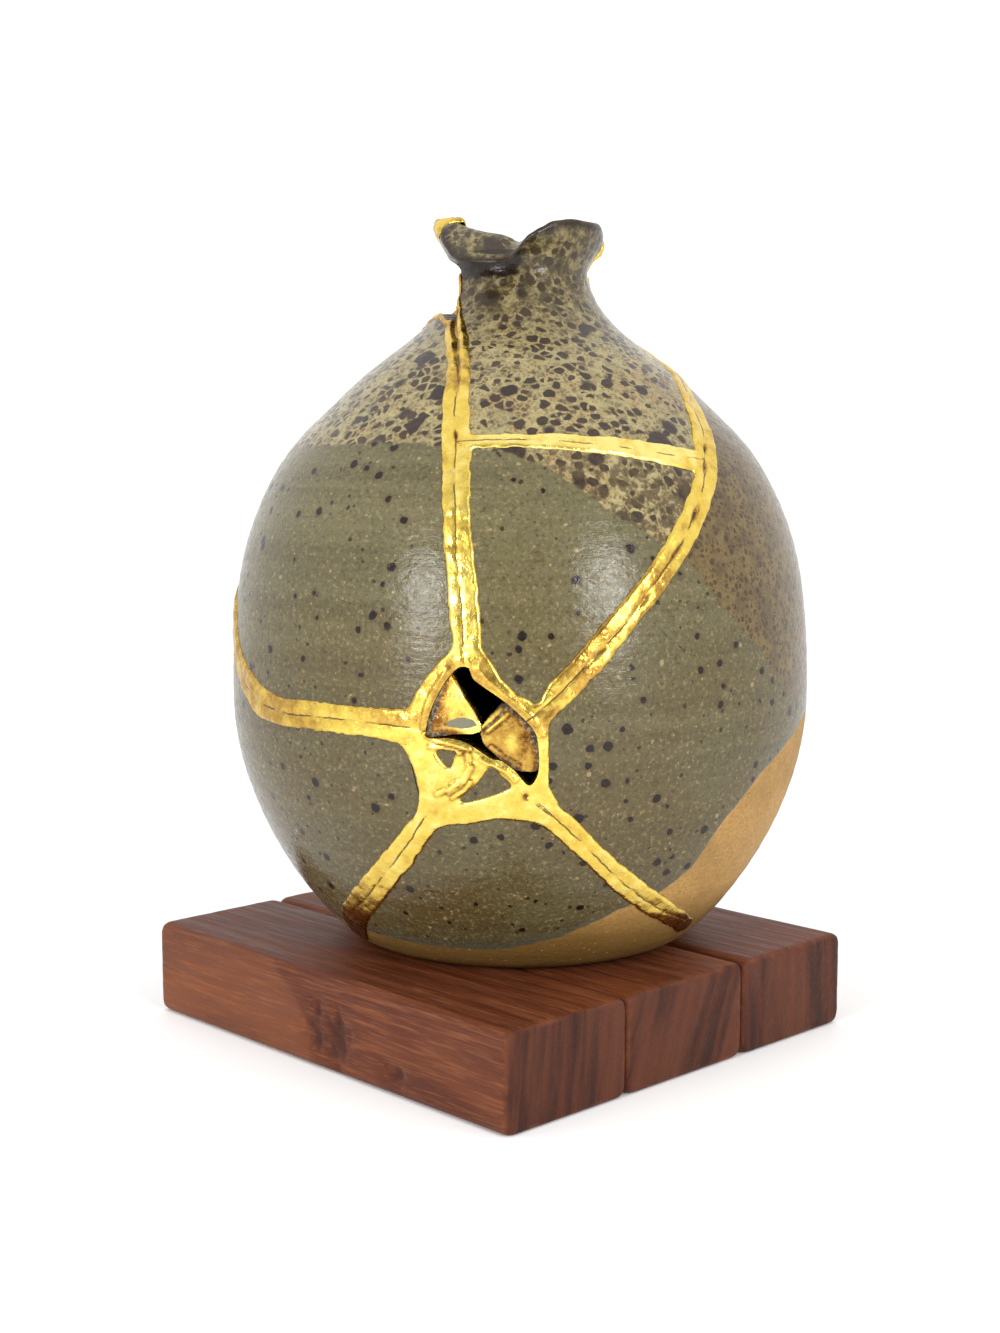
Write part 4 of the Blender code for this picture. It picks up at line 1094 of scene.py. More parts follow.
def lip_gold(name, middle, half, first, last, seed):
    """Lacquer over the lip at a crack: a lumpy strip from outside, over the edge, to inside."""
    across = np.linspace(-1.0, 1.0, 19)
    count = 120
    steps = np.arange(int(first * count), int(last * count))
    upper = []
    for k in steps:
        share = (k - steps[0]) / (len(steps) - 1.0)
        width = half * (0.35 + 0.65 * math.sin(math.pi * min(max(share, 0.03), 0.97)) ** 0.4)
        width *= 1.0 + 0.16 * math.sin(seed + share * 17.0)
        for t in across:
            turned = middle + math.degrees(t * width / 30.0)
            swell = 0.2 + 0.8 * math.sin(math.pi * share) ** 0.5
            upper.append((turned, k, math.sqrt(max(1.0 - t ** 4, 0.0)) * swell))
    curves = {}
    points = []
    lower = []
    for turned, k, rise in upper:
        key = round(turned, 3)
        if key not in curves:
            curves[key] = lip_curve(turned, count)
        r, z, nr, nz = curves[key]
        bump = 0.25 * math.sin(k * 0.61 + seed) * math.cos(turned * 0.9 + seed)
        lift = -0.1 + rise * (1.05 + bump)
        points.append(place(turned, r[k] + nr[k] * lift, z[k] + nz[k] * lift))
        lower.append(place(turned, r[k] - nr[k] * 0.5, z[k] - nz[k] * 0.5))
    wide = len(across)
    long = len(steps)
    base = len(points)
    faces = []
    for i in range(long - 1):
        for j in range(wide - 1):
            a = i * wide + j
            faces.append((a, a + 1, a + wide + 1, a + wide))
            faces.append((base + a, base + a + wide, base + a + wide + 1, base + a + 1))
        for j in (0, wide - 1):
            a = i * wide + j
            faces.append((a, a + wide, base + a + wide, base + a))
    for i in (0, long - 1):
        for j in range(wide - 1):
            a = i * wide + j
            faces.append((a, a + 1, base + a + 1, base + a))
    obj = outward(link_mesh(name, points + lower, faces))
    total = len(points) * 2
    add_values(obj.data, {"crack_far": np.full(total, NO_CRACK), "tone": np.full(total, 0.35)})
    return obj


def block_of_wood(name, low, high):
    """A plain block between two corners, with a grid fine enough to carve."""
    size = high - low
    deselect_all()
    bpy.ops.mesh.primitive_cube_add(size=1.0, location=((low + high) / 2.0).tolist())
    block = bpy.context.object
    block.name = name
    bpy.ops.object.transform_apply(location=True, rotation=False, scale=False)
    edit_mode(True)
    bpy.ops.mesh.select_all(action="SELECT")
    bpy.ops.transform.resize(value=size.tolist())
    edit_mode(False)
    for axis, cuts in ((0, 100), (1, 30), (2, 18)):
        bm = bmesh.new()
        bm.from_mesh(block.data)
        along = [e for e in bm.edges
                 if abs(abs((e.verts[0].co - e.verts[1].co)[axis]) - size[axis]) < 0.1]
        bmesh.ops.subdivide_edges(bm, edges=along, cuts=cuts, use_grid_fill=True)
        bm.to_mesh(block.data)
        bm.free()
    return block


def round_long_edges(co, half):
    """Round the four long edges and ease the ends; returns which points are on an end."""
    q = np.abs(co[:, 1:]) - (half[1:] - BOARD_ROUNDING)
    both = (q > 0.0).all(axis=1)
    longer = q.max(axis=1)
    norm = np.hypot(q[:, 0], q[:, 1])
    for k in (0, 1):
        rounded_to = (half[k + 1] - BOARD_ROUNDING) + q[:, k] * longer / np.maximum(norm, 1e-6)
        co[:, k + 1] = np.where(both, np.sign(co[:, k + 1]) * rounded_to, co[:, k + 1])
    at_end = np.abs(np.abs(co[:, 0]) - half[0]) < 0.01
    ends = at_end & (longer > BOARD_ROUNDING - 0.01)
    co[ends, 0] -= np.sign(co[ends, 0]) * 0.5
    co[ends, 1:] *= 1.0 - 0.5 / half[1:]
    return at_end


def torn_depth(co, middle, half, spots):
    """How deep the grain is torn out of the near board's long side."""
    sunk = np.zeros(len(co))
    flakes = value_noise(spots * np.array([1.0, 1.0, 0.6]), 3.4, 74) + 0.7 * value_noise(spots, 1.7, 75)
    for x, z, wide, tall, deep in TORN_GRAIN:
        near = np.hypot((co[:, 0] + middle[0] - x) / wide, (co[:, 2] + middle[2] - z) / tall)
        here = (co[:, 1] < -half[1] + 4.5) * step(1.15, 0.55, near + 0.25 * value_noise(spots, 5.0, 73))
        sunk = np.maximum(sunk, here * deep * np.clip(0.45 + 0.6 * flakes, 0.0, 1.4))
    return sunk


def dressed_board(name, node, shift):
    """A planed board with rounded long edges, torn grain and a slightly uneven face."""
    low, high = (np.array(corner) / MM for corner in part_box(node))
    middle = (low + high) / 2.0
    half = (high - low) / 2.0
    board = block_of_wood(name, low, high)
    co = read_points(board.data) - middle
    at_end = round_long_edges(co, half)
    spots = co + middle + shift
    grain = spots * np.array([0.12, 1.0, 1.0])
    rough = 0.10 * value_noise(grain, 2.6, 71) + 0.07 * value_noise(grain, 1.3, 72)
    on_near = node == "base_board_near"
    sunk = torn_depth(co, middle, half, spots) * on_near
    side = np.where(np.abs(np.abs(co) - half) < 0.6, np.sign(co), 0.0)
    side = side / np.maximum(np.linalg.norm(side, axis=1), 1.0)[:, None]
    lifted = side * (rough - sunk)[:, None]
    lifted[:, 2] = np.where(co[:, 2] < -half[2] + 0.6, 0.0, lifted[:, 2])
    co = co + lifted
    write_points(board.data, co + middle)
    to_edge = np.sort(half - np.abs(co), axis=1)
    # A paler leaf-shaped place at the left of the near board's long side.
    height = co[:, 2] + half[2]
    limit = -4.0 - 26.0 * np.clip((height - 8.0) / 30.0, 0.0, 1.0) ** 2
    pale = step(1.5, -1.5, co[:, 0] + middle[0] - limit) * (co[:, 1] < 1.5 - half[1]) * on_near
    add_values(board.data, {
        "torn": sunk,
        "edge_near": to_edge[:, 0] + to_edge[:, 1],
        "end": at_end.astype(float),
        "pale": pale,
    })
    fine = board.modifiers.new("fine", "SUBSURF")
    fine.levels = 1
    fine.render_levels = 1
    apply_modifiers(board)
    return board


class Finish:
    """Short hand for the nodes of one finish."""

    def __init__(self, name):
        self.material = bpy.data.materials.new(name)
        self.material.use_nodes = True
        self.nodes = self.material.node_tree.nodes
        self.links = self.material.node_tree.links
        self.shader = self.nodes["Principled BSDF"]
        self.place = self.nodes.new("ShaderNodeTexCoord").outputs["Object"]

    def link(self, source, socket):
        if isinstance(source, (int, float, tuple)):
            socket.default_value = source
        else:
            self.links.new(source, socket)

    def mapped(self, scale, shift=(0.0, 0.0, 0.0), turn=(0.0, 0.0, 0.0), source=None):
        node = self.nodes.new("ShaderNodeMapping")
        node.inputs["Scale"].default_value = scale
        node.inputs["Location"].default_value = shift
        node.inputs["Rotation"].default_value = turn
        self.links.new(source or self.place, node.inputs["Vector"])
        return node.outputs["Vector"]

    def per_metre(self, size, stretch):
        """How often a feature of a size in millimetres fits in a metre, along each axis."""
        return tuple(share / (size * MM) for share in stretch)

    def noise(self, size, detail=2.0, rough=0.5, source=None, stretch=(1.0, 1.0, 1.0), output="Fac"):
        """Noise with features of a size in millimetres."""
        node = self.nodes.new("ShaderNodeTexNoise")
        node.inputs["Scale"].default_value = 1.0
        node.inputs["Detail"].default_value = detail
        node.inputs["Roughness"].default_value = rough
        self.links.new(self.mapped(self.per_metre(size, stretch), source=source), node.inputs["Vector"])
        return node.outputs[output]

    def cells(self, size, source=None, feature="F1", stretch=(1.0, 1.0, 1.0)):
        """Random cells of a size in millimetres."""
        node = self.nodes.new("ShaderNodeTexVoronoi")
        node.feature = feature
        node.inputs["Scale"].default_value = 1.0
        node.inputs["Randomness"].default_value = 1.0
        self.links.new(self.mapped(self.per_metre(size, stretch), source=source), node.inputs["Vector"])
        return node

    def value(self, name):
        node = self.nodes.new("ShaderNodeAttribute")
        node.attribute_name = name
        return node.outputs["Fac"]

    def math(self, kind, a, b=0.0, c=0.0):
        node = self.nodes.new("ShaderNodeMath")
        node.operation = kind
        for socket, source in zip(node.inputs, (a, b, c)):
            self.link(source, socket)
        return node.outputs[0]

    def ramp(self, source, low, high, to_low=0.0, to_high=1.0):
        """Smooth change of a number from low to high."""
        node = self.nodes.new("ShaderNodeMapRange")
        node.interpolation_type = "SMOOTHSTEP"
        self.links.new(source, node.inputs["Value"])
        node.inputs["From Min"].default_value = low
        node.inputs["From Max"].default_value = high
        node.inputs["To Min"].default_value = to_low
        node.inputs["To Max"].default_value = to_high
        return node.outputs["Result"]

    def mix(self, share, first, second):
        node = self.nodes.new("ShaderNodeMix")
        node.data_type = "RGBA"
        self.link(share, node.inputs["Factor"])
        for socket, source in ((node.inputs[6], first), (node.inputs[7], second)):
            self.link(source if not isinstance(source, tuple) else (*source, 1.0)[:4], socket)
        return node.outputs[2]

    def laid(self, mask, strength, below, tone):
        """A tone laid over what is below, as far as a mask times a strength lets it."""
        return self.mix(self.math("MULTIPLY", mask, strength), below, tone)

    def wander(self, reach, size, detail, rough=0.5):
        """A number that wanders about nothing, over places of a size in millimetres."""
        return self.math("MULTIPLY", self.math("SUBTRACT", self.noise(size, detail, rough), 0.5), reach)

    def astray(self, name, *wandering):
        """A value of the mesh, led astray so that its contour is uneven."""
        return self.math("ADD", self.value(name), self.wander(*wandering))

    def warp(self, amount, size):
        """Object place moved about by noise, for uneven outlines."""
        noise = self.noise(size, 1.0, output="Color")
        centred = self.nodes.new("ShaderNodeVectorMath")
        centred.operation = "SUBTRACT"
        self.links.new(noise, centred.inputs[0])
        centred.inputs[1].default_value = (0.5, 0.5, 0.5)
        scaled = self.nodes.new("ShaderNodeVectorMath")
        scaled.operation = "SCALE"
        self.links.new(centred.outputs[0], scaled.inputs[0])
        scaled.inputs["Scale"].default_value = amount * MM
        total = self.nodes.new("ShaderNodeVectorMath")
        total.operation = "ADD"
        self.links.new(self.place, total.inputs[0])
        self.links.new(scaled.outputs[0], total.inputs[1])
        return total.outputs[0]

    def bump(self, source, depth, before=None):
        """Relief of a depth in millimetres."""
        node = self.nodes.new("ShaderNodeBump")
        node.inputs["Strength"].default_value = 1.0
        node.inputs["Distance"].default_value = depth * MM
        self.links.new(source, node.inputs["Height"])
        if before:
            self.links.new(before, node.inputs["Normal"])
        return node.outputs["Normal"]

    def set(self, name, source):
        self.link(source, self.shader.inputs[name])


def spots(look, source, size, radius, share, stretch=(1.0, 1.0, 1.0), soft=0.12):
    """Mask of scattered round spots: 1 in a spot."""
    cells = look.cells(size, source=source, stretch=stretch)
    split_colour = look.nodes.new("ShaderNodeSeparateColor")
    look.links.new(cells.outputs["Color"], split_colour.inputs[0])
    grow_by = look.ramp(split_colour.outputs[0], 0.0, 1.0, 0.62, 1.25)
    there = look.math("LESS_THAN", split_colour.outputs[1], share)
    edge = look.math("MULTIPLY", look.math("MULTIPLY", grow_by, radius / size), there)
    inside = look.math("SUBTRACT", edge, cells.outputs["Distance"])
    return look.ramp(inside, -soft * radius / size, soft * radius / size)


def pebbles(look, source, size, fill, share, gap=0.05, stretch=(1.0, 1.0, 1.0)):
    """Mask of crowded rounded spots that never touch, and a number that differs from spot to spot."""
    cells = look.cells(size, source=source, stretch=stretch)
    walls = look.cells(size, source=source, feature="DISTANCE_TO_EDGE", stretch=stretch)
    parted = look.nodes.new("ShaderNodeSeparateColor")
    look.links.new(cells.outputs["Color"], parted.inputs[0])
    there = look.math("LESS_THAN", parted.outputs[1], share)
    reach = look.ramp(parted.outputs[0], 0.0, 1.0, 0.62 * fill, 1.2 * fill)
    inside = look.ramp(look.math("SUBTRACT", reach, cells.outputs["Distance"]), -0.05, 0.05)
    apart = look.ramp(walls.outputs["Distance"], gap, gap + 0.06)
    mask = look.math("MULTIPLY", look.math("MULTIPLY", inside, apart), there)
    return mask, parted.outputs[2]


def srgb(*numbers):
    return tuple((n / 255.0 / 12.92) if n <= 10 else ((n / 255.0 + 0.055) / 1.055) ** 2.4 for n in numbers)


def glaze_finish():
    """Leopard glaze above, olive glaze below, a fine brown net at the right, and bare clay at the foot."""
    look = Finish("leopard_and_olive_glaze")
    leopard = look.ramp(look.astray("leopard", 5.0, 7.0, 3.0), -0.7, 0.7)
    clay = look.ramp(look.astray("clay", 2.2, 6.0, 3.0), -0.6, 0.6)
    net = look.value("net")
    high = look.value("height")
    rounder = look.warp(2.0, 5.0)
    warped_fine = look.warp(1.3, 2.4)

    # Olive-grey glaze with streaks from the wheel, grit and iron specks.
    streak = look.noise(30.0, 4.0, 0.65, stretch=(0.09, 0.09, 6.0))
    cloud = look.noise(46.0, 3.0, 0.55)
    # Painted light and shade, and a painted reflection of the wood: the olive lighter high up, darker and
    # browner towards the foot.
    olive = look.mix(look.ramp(high, 90.0, 190.0), srgb(86, 74, 45), srgb(101, 94, 65))
    olive = look.mix(look.ramp(high, 74.0, 16.0), olive, srgb(76, 60, 32))
    olive = look.mix(look.ramp(cloud, 0.40, 0.66, 0.0, 0.55), olive, srgb(88, 84, 59))
    olive = look.mix(look.ramp(streak, 0.42, 0.66, 0.0, 0.50), olive, srgb(76, 67, 42))
    olive = look.mix(look.ramp(streak, 0.46, 0.26, 0.0, 0.35), olive, srgb(102, 95, 67))
    speckle = look.noise(1.6, 4.0, 0.75)
    olive = look.mix(look.ramp(speckle, 0.53, 0.68, 0.0, 0.75), olive, srgb(132, 120, 84))
    olive = look.mix(look.ramp(speckle, 0.46, 0.33, 0.0, 0.75), olive, srgb(56, 47, 29))
    grit = spots(look, None, 2.9, 0.40, 0.40)
    olive = look.laid(grit, 0.62, olive, srgb(164, 132, 84))
    pale_grit = spots(look, warped_fine, 6.2, 0.75, 0.28)
    olive = look.laid(pale_grit, 0.45, olive, srgb(176, 150, 108))
    near_clay = look.ramp(look.value("clay"), -4.6, -0.8)
    blue = look.math("MULTIPLY", near_clay, look.ramp(cloud, 0.30, 0.60, 0.35, 1.0))
    olive = look.laid(blue, 0.55, olive, srgb(78, 84, 74))
    iron = spots(look, warped_fine, 8.4, 1.6, 0.62)
    iron_small = spots(look, warped_fine, 4.6, 0.75, 0.55)
    halo = spots(look, warped_fine, 8.4, 2.3, 0.62, soft=0.4)
    olive = look.laid(halo, 0.35, olive, srgb(66, 52, 30))
    olive = look.mix(iron, olive, srgb(26, 16, 10))
    olive = look.laid(iron_small, 0.85, olive, srgb(38, 26, 14))

    # Leopard glaze: a khaki mesh round dark spots of several sizes.
    tan = look.ramp(look.noise(30.0, 3.0, 0.55), 0.50, 0.68)
    khaki = look.laid(tan, 0.75, srgb(152, 135, 91), srgb(148, 115, 74))
    khaki = look.mix(look.ramp(look.noise(12.0, 3.0), 0.46, 0.68, 0.0, 0.55), khaki, srgb(112, 104, 72))
    khaki = look.mix(look.ramp(look.noise(1.4, 3.0, 0.7), 0.42, 0.66, 0.0, 0.5), khaki, srgb(106, 92, 60))
    large, large_tone = pebbles(look, rounder, 12.5, 0.37, 0.42, 0.06, (1.0, 1.0, 1.1))
    middle, middle_tone = pebbles(look, rounder, 4.8, 0.49, 0.80, 0.07, (1.0, 1.0, 1.1))
    small, small_tone = pebbles(look, warped_fine, 2.8, 0.53, 0.86, 0.08)
    tiny = pebbles(look, warped_fine, 1.5, 0.54, 0.85, 0.09)[0]
    dark_small = look.mix(small_tone, srgb(92, 76, 54), srgb(58, 44, 30))
    dark_middle = look.mix(middle_tone, srgb(58, 42, 32), srgb(38, 26, 18))
    dark_large = look.mix(large_tone, srgb(56, 42, 36), srgb(40, 28, 22))
    khaki = look.laid(tiny, 0.68, khaki, srgb(84, 68, 44))
    khaki = look.laid(small, 0.86, khaki, dark_small)
    rim = look.math("MULTIPLY", look.ramp(look.noise(4.0, 2.0), 0.35, 0.65), 0.35)
    khaki = look.laid(middle, 0.95, look.mix(rim, khaki, srgb(176, 168, 120)), dark_middle)
    khaki = look.mix(large, khaki, dark_large)
    # The neck and the rim are darker, and the spots there run together.
    neck = look.ramp(high, 232.0, 262.0)
    close = look.ramp(look.noise(5.0, 4.0, 0.7), 0.40, 0.60)
    neck_ground = look.mix(close, khaki, srgb(54, 44, 27))
    khaki = look.laid(neck, 0.88, khaki, neck_ground)
    khaki = look.laid(neck, 0.30, khaki, srgb(60, 50, 32))
    brown = look.mix(look.ramp(look.noise(3.6, 3.0, 0.65), 0.42, 0.58), khaki, srgb(74, 60, 38))
    khaki = look.laid(look.ramp(high, 206.0, 188.0), 0.85, khaki, brown)
    # Painted shadow under the drooping lip: near black just below its rim.
    painted_lip_shadow = look.ramp(look.astray("lip_shadow", 1.3, 4.0, 3.0), 0.35, 0.75)
    khaki = look.laid(painted_lip_shadow, 0.92, khaki, srgb(24, 15, 10))
    khaki = look.laid(look.value("rim"), 0.94, khaki, srgb(34, 22, 14))

    # Finer brown net right of the long seam.
    fine = look.mix(look.ramp(look.noise(9.0, 3.0), 0.4, 0.7), srgb(106, 88, 52), srgb(84, 68, 42))
    fine_spots, fine_tone = pebbles(look, warped_fine, 2.5, 0.46, 0.9, 0.05)
    fine = look.laid(tiny, 0.45, fine, srgb(70, 54, 30))
    dark_fine = look.mix(fine_tone, srgb(72, 56, 32), srgb(52, 38, 20))
    fine = look.laid(fine_spots, 0.85, fine, dark_fine)
    khaki = look.mix(net, khaki, fine)

    colour = look.mix(leopard, olive, khaki)
    # Bare clay.
    bare = look.mix(look.ramp(look.noise(1.3, 4.0, 0.7), 0.3, 0.7), srgb(176, 138, 78), srgb(146, 108, 54))
    bare = look.mix(look.ramp(look.noise(24.0, 3.0), 0.42, 0.68, 0.0, 0.5), bare, srgb(130, 98, 46))
    # Painted shade and a painted reflection of the wood: the clay darker and browner towards the foot.
    bare = look.mix(look.ramp(high, 34.0, 12.0, 0.0, 0.75), bare, srgb(96, 70, 24))
    bare = look.laid(spots(look, None, 3.4, 0.45, 0.4), 0.6, bare, srgb(84, 60, 28))
    bare = look.laid(grit, 0.6, bare, srgb(196, 168, 112))
    colour = look.mix(clay, colour, bare)
    inside = look.value("inside")
    colour = look.mix(inside, colour, srgb(46, 38, 26))
    look.set("Base Color", colour)
    rough = look.ramp(look.noise(3.0, 3.0, 0.6), 0.3, 0.7, 0.14, 0.30)
    rough = look.math("ADD", rough, look.math("MULTIPLY", clay, 0.42))
    look.set("Roughness", rough)
    look.shader.inputs["Specular IOR Level"].default_value = 0.33
    relief_by = look.bump(look.noise(30.0, 3.0, 0.5, stretch=(0.25, 0.25, 9.0)), 0.17)
    relief_by = look.bump(look.noise(4.2, 4.0, 0.62, stretch=(0.7, 0.7, 1.4)), 0.34, relief_by)
    relief_by = look.bump(look.noise(1.5, 3.0, 0.6), 0.07, relief_by)
    look.set("Normal", relief_by)
    return look.material


def gold_finish():
    """Gold lacquer, pale where proud and brown where sunk or where painted shade and reflection lie, with the
    crack drawn on it; the pale crests and brown hollows are painted light and shade.
    """
    look = Finish("gold_lacquer_with_painted_light")
    fine = look.noise(1.4, 3.0, 0.65)
    mottled = look.astray("tone", 1.6, 5.0, 4.0, 0.62)
    colour = look.mix(look.ramp(mottled, -0.45, 0.15), srgb(248, 226, 134), srgb(228, 196, 86))
    colour = look.mix(look.ramp(mottled, 0.10, 0.80), colour, srgb(176, 134, 58))
    colour = look.mix(look.ramp(mottled, 0.75, 1.35), colour, srgb(112, 68, 22))
    colour = look.mix(look.ramp(mottled, 1.3, 1.8), colour, srgb(46, 24, 8))
    colour = look.mix(look.ramp(fine, 0.45, 0.75, 0.0, 0.25), colour, srgb(255, 236, 150))
    far = look.math("ABSOLUTE", look.astray("crack_far", 1.1, 4.0, 3.0))
    line = look.ramp(far, 0.34, 0.16)
    broken = look.ramp(look.noise(11.0, 2.0), 0.40, 0.50)
    line = look.math("MULTIPLY", line, broken)
    bare = look.ramp(look.value("bare"), 0.0, 0.3)
    colour = look.mix(bare, colour, srgb(112, 108, 88))
    colour = look.laid(line, 0.85, colour, srgb(52, 28, 8))
    look.set("Base Color", colour)
    dull = look.math("MAXIMUM", look.math("MAXIMUM", line, bare), look.ramp(mottled, 1.2, 1.7))
    look.set("Metallic", look.ramp(dull, 0.0, 1.0, 1.0, 0.25))
    rough = look.ramp(look.noise(6.0, 3.0, 0.6), 0.3, 0.7, 0.17, 0.36)
    look.set("Roughness", rough)
    relief_by = look.bump(look.noise(3.2, 3.0, 0.55), 0.26)
    relief_by = look.bump(look.noise(1.0, 2.0, 0.6), 0.06, relief_by)
    relief_by = look.bump(look.math("SUBTRACT", 1.0, line), 0.25, relief_by)
    look.set("Normal", relief_by)
    return look.material


def wood_finish(name, pith, shift, lean):
    """Stained softwood: wide soft growth bands from a pith line far to one side."""
    look = Finish(name)
    to_pith = (shift * MM, -pith[0] * MM, -pith[1] * MM)
    moved = look.mapped((1.0, 1.0, 1.0), shift=to_pith, turn=(lean, 0.0, 0.0))
    sway = look.noise(70.0, 3.0, 0.5, source=moved, stretch=(0.40, 1.0, 1.0), output="Color")
    bent = look.nodes.new("ShaderNodeVectorMath")
    bent.operation = "MULTIPLY_ADD"
    look.links.new(sway, bent.inputs[0])
    bent.inputs[1].default_value = (0.0, 0.034, 0.034)
    look.links.new(moved, bent.inputs[2])
    parts = look.nodes.new("ShaderNodeSeparateXYZ")
    look.links.new(bent.outputs[0], parts.inputs[0])
    far = look.math("SQRT", look.math("ADD", look.math("POWER", parts.outputs[1], 2.0),
                                      look.math("POWER", parts.outputs[2], 2.0)))
    ring = look.math("FRACT", look.math("MULTIPLY", far, 1000.0 / 8.5))
    late = look.math("MULTIPLY", look.ramp(ring, 0.25, 0.85), look.ramp(ring, 1.0, 0.86))
    fibre = look.noise(2.6, 4.0, 0.65, source=moved, stretch=(0.045, 1.0, 1.0))
    fine = look.noise(0.9, 2.0, 0.6, source=moved, stretch=(0.05, 1.0, 1.0))
    blotch = look.noise(26.0, 4.0, 0.6, source=moved, stretch=(0.55, 1.0, 1.0))
    cloud = look.noise(80.0, 2.0, 0.5, source=moved, stretch=(0.5, 1.0, 1.0))
    colour = look.mix(look.ramp(blotch, 0.34, 0.66), srgb(113, 60, 31), srgb(90, 43, 20))
    colour = look.mix(look.ramp(cloud, 0.42, 0.64, 0.0, 0.55), colour, srgb(84, 38, 20))
    fade = look.ramp(cloud, 0.36, 0.56, 0.15, 0.62)
    colour = look.laid(late, fade, colour, srgb(74, 32, 17))
    colour = look.mix(look.ramp(fibre, 0.48, 0.74, 0.0, 0.45), colour, srgb(150, 90, 56))
    colour = look.mix(look.ramp(fibre, 0.48, 0.26, 0.0, 0.45), colour, srgb(66, 29, 15))
    colour = look.mix(look.ramp(fine, 0.50, 0.72, 0.0, 0.28), colour, srgb(156, 100, 66))
    sawn = look.noise(4.2, 4.0, 0.6, source=moved, stretch=(1.0, 1.0, 0.07))
    dark_end = look.mix(look.ramp(sawn, 0.34, 0.66), srgb(34, 10, 4), srgb(74, 33, 15))
    broad = look.noise(17.0, 2.0, 0.5, source=moved, stretch=(1.0, 1.0, 0.15))
    dark_end = look.mix(look.ramp(broad, 0.46, 0.62, 0.0, 0.6), dark_end, srgb(96, 50, 29))
    colour = look.laid(look.value("end"), 0.85, colour, dark_end)
    colour = look.laid(look.value("pale"), 0.16, colour, srgb(158, 98, 62))
    torn = look.value("torn")
    colour = look.mix(look.ramp(torn, 0.3, 2.0, 0.0, 0.85), colour, srgb(62, 28, 16))
    # Lighter towards the edges.
    lighter_near_edge = look.ramp(look.astray("edge_near", 4.0, 9.0, 3.0), 2.0, -0.8)
    colour = look.laid(lighter_near_edge, 0.42, colour, srgb(150, 86, 54))
    look.set("Base Color", colour)
    look.shader.inputs["Specular IOR Level"].default_value = 0.2
    look.set("Roughness", look.ramp(fibre, 0.3, 0.7, 0.42, 0.64))
    relief_by = look.bump(fibre, 0.34)
    relief_by = look.bump(look.noise(1.6, 4.0, 0.7, source=moved, stretch=(0.4, 1.0, 1.0)), 0.22, relief_by)
    relief_by = look.bump(fine, 0.06, relief_by)
    look.set("Normal", relief_by)
    return look.material


def paper_finish():
    look = Finish("backdrop_paper")
    look.set("Base Color", look.mix(look.noise(300.0, 2.0), (0.98, 0.98, 0.98), (0.99, 0.99, 0.99)))
    look.set("Roughness", 0.9)
    look.shader.inputs["Specular IOR Level"].default_value = 0.2
    return look.material


# Lower edge of the leopard glaze, and upper edge of the bare clay: angle and height.
LEOPARD_EDGE = (
    (-180.0, 150.0), (-130.0, 182.0), (-90.0, 197.0), (-74.0, 197.4), (-56.0, 199.5), (-36.0, 201.0),
    (-18.0, 200.3), (-12.0, 199.6), (-2.8, 196.8), (7.7, 189.8), (15.3, 179.3), (22.8, 170.4),
    (27.7, 164.9), (32.7, 158.7), (38.8, 142.8), (49.6, 124.8), (64.9, 99.5), (75.0, 104.0), (92.0, 108.0),
    (130.0, 122.0), (180.0, 150.0),
)
CLAY_EDGE = (
    (-180.0, 20.0), (-120.0, 14.0), (-53.6, 13.4), (-35.9, 11.7), (-20.1, 11.3), (-5.9, 11.8), (9.7, 17.7),
    (23.1, 28.8), (32.3, 34.3), (38.4, 42.6), (42.5, 59.9), (51.4, 77.2), (62.9, 87.5), (73.0, 94.0),
    (86.0, 97.0), (104.0, 90.0), (130.0, 58.0), (156.0, 30.0), (180.0, 20.0),
)


def edge_distance(angle, z, table):
    """Distance above a slanting edge round the wall."""
    angles = np.array([a for a, h in table])
    heights = np.array([h for a, h in table])
    level = np.interp(angle, angles, heights)
    slope = (np.interp(angle + 1.0, angles, heights) - np.interp(angle - 1.0, angles, heights)) / 4.0
    slope = slope / np.maximum(DEGREE * outer_radius(z), 0.4)
    return (z - level) / np.hypot(1.0, slope)


def glaze_values(obj):
    """Where each point of a shard lies in the pattern of the glazes, and where the painted shadow under the
    lip falls.
    """
    angle, r, z = unplace_many(read_points(obj.data))
    seam = np.array(sorted((p[1], p[0]) for p in CRACKS["right"][1:]))
    right_of = angle - np.interp(z, seam[:, 0], seam[:, 1])
    net = step(-1.0, 1.0, right_of) * step(250.0, 240.0, z) * (angle > 0.0)
    inside = ((z > 8.0) & (z < 264.0) & (r < outer_radius(z) - 2.5)).astype(float)
    rim = np.zeros(len(z))
    lip_shadow = np.zeros(len(z))
    for k in np.nonzero(z > 258.0)[0]:
        turned = (angle[k] + 180.0) % 360.0 - 180.0
        section = lip_section(turned)
        far = min(math.hypot(section[n][1] - r[k], section[n][0] - z[k]) for n in (4, 5))
        rim[k] = math.exp(-(far / 2.4) ** 2)
        # Where the painted shadow under the drooping lip falls.
        flap = float(step(-88.0, -66.0, turned) * step(6.0, -8.0, turned))
        under = float(step(24.4, 25.4, r[k]) * step(37.2, 35.4, r[k]))
        lip_shadow[k] = under * float(step(261.5, 267.0, z[k]) * step(275.5, 273.5, z[k])) * flap
    add_values(obj.data, {
        "leopard": edge_distance(angle, z, LEOPARD_EDGE),
        "clay": -edge_distance(angle, z, CLAY_EDGE),
        "net": net,
        "inside": inside,
        "height": z,
        "rim": rim,
        "lip_shadow": lip_shadow,
    })


def softbox(name, heading, rise, away, wide, tall, strength):
    """A soft light that looks at the vase from a heading in the vase's own angles."""
    target = place(0.0, 0.0, 140.0) * MM
    a = math.radians(FRONT_AZIMUTH + heading)
    e = math.radians(rise)
    to = Vector((math.cos(a) * math.cos(e), math.sin(a) * math.cos(e), math.sin(e)))
    data = bpy.data.lights.new(name, "AREA")
    data.shape = "RECTANGLE"
    data.size = wide
    data.size_y = tall
    data.energy = strength
    light = bpy.data.objects.new(name, data)
    bpy.context.scene.collection.objects.link(light)
    light.location = target + to * away
    light.rotation_euler = to.to_track_quat("Z", "Y").to_euler()


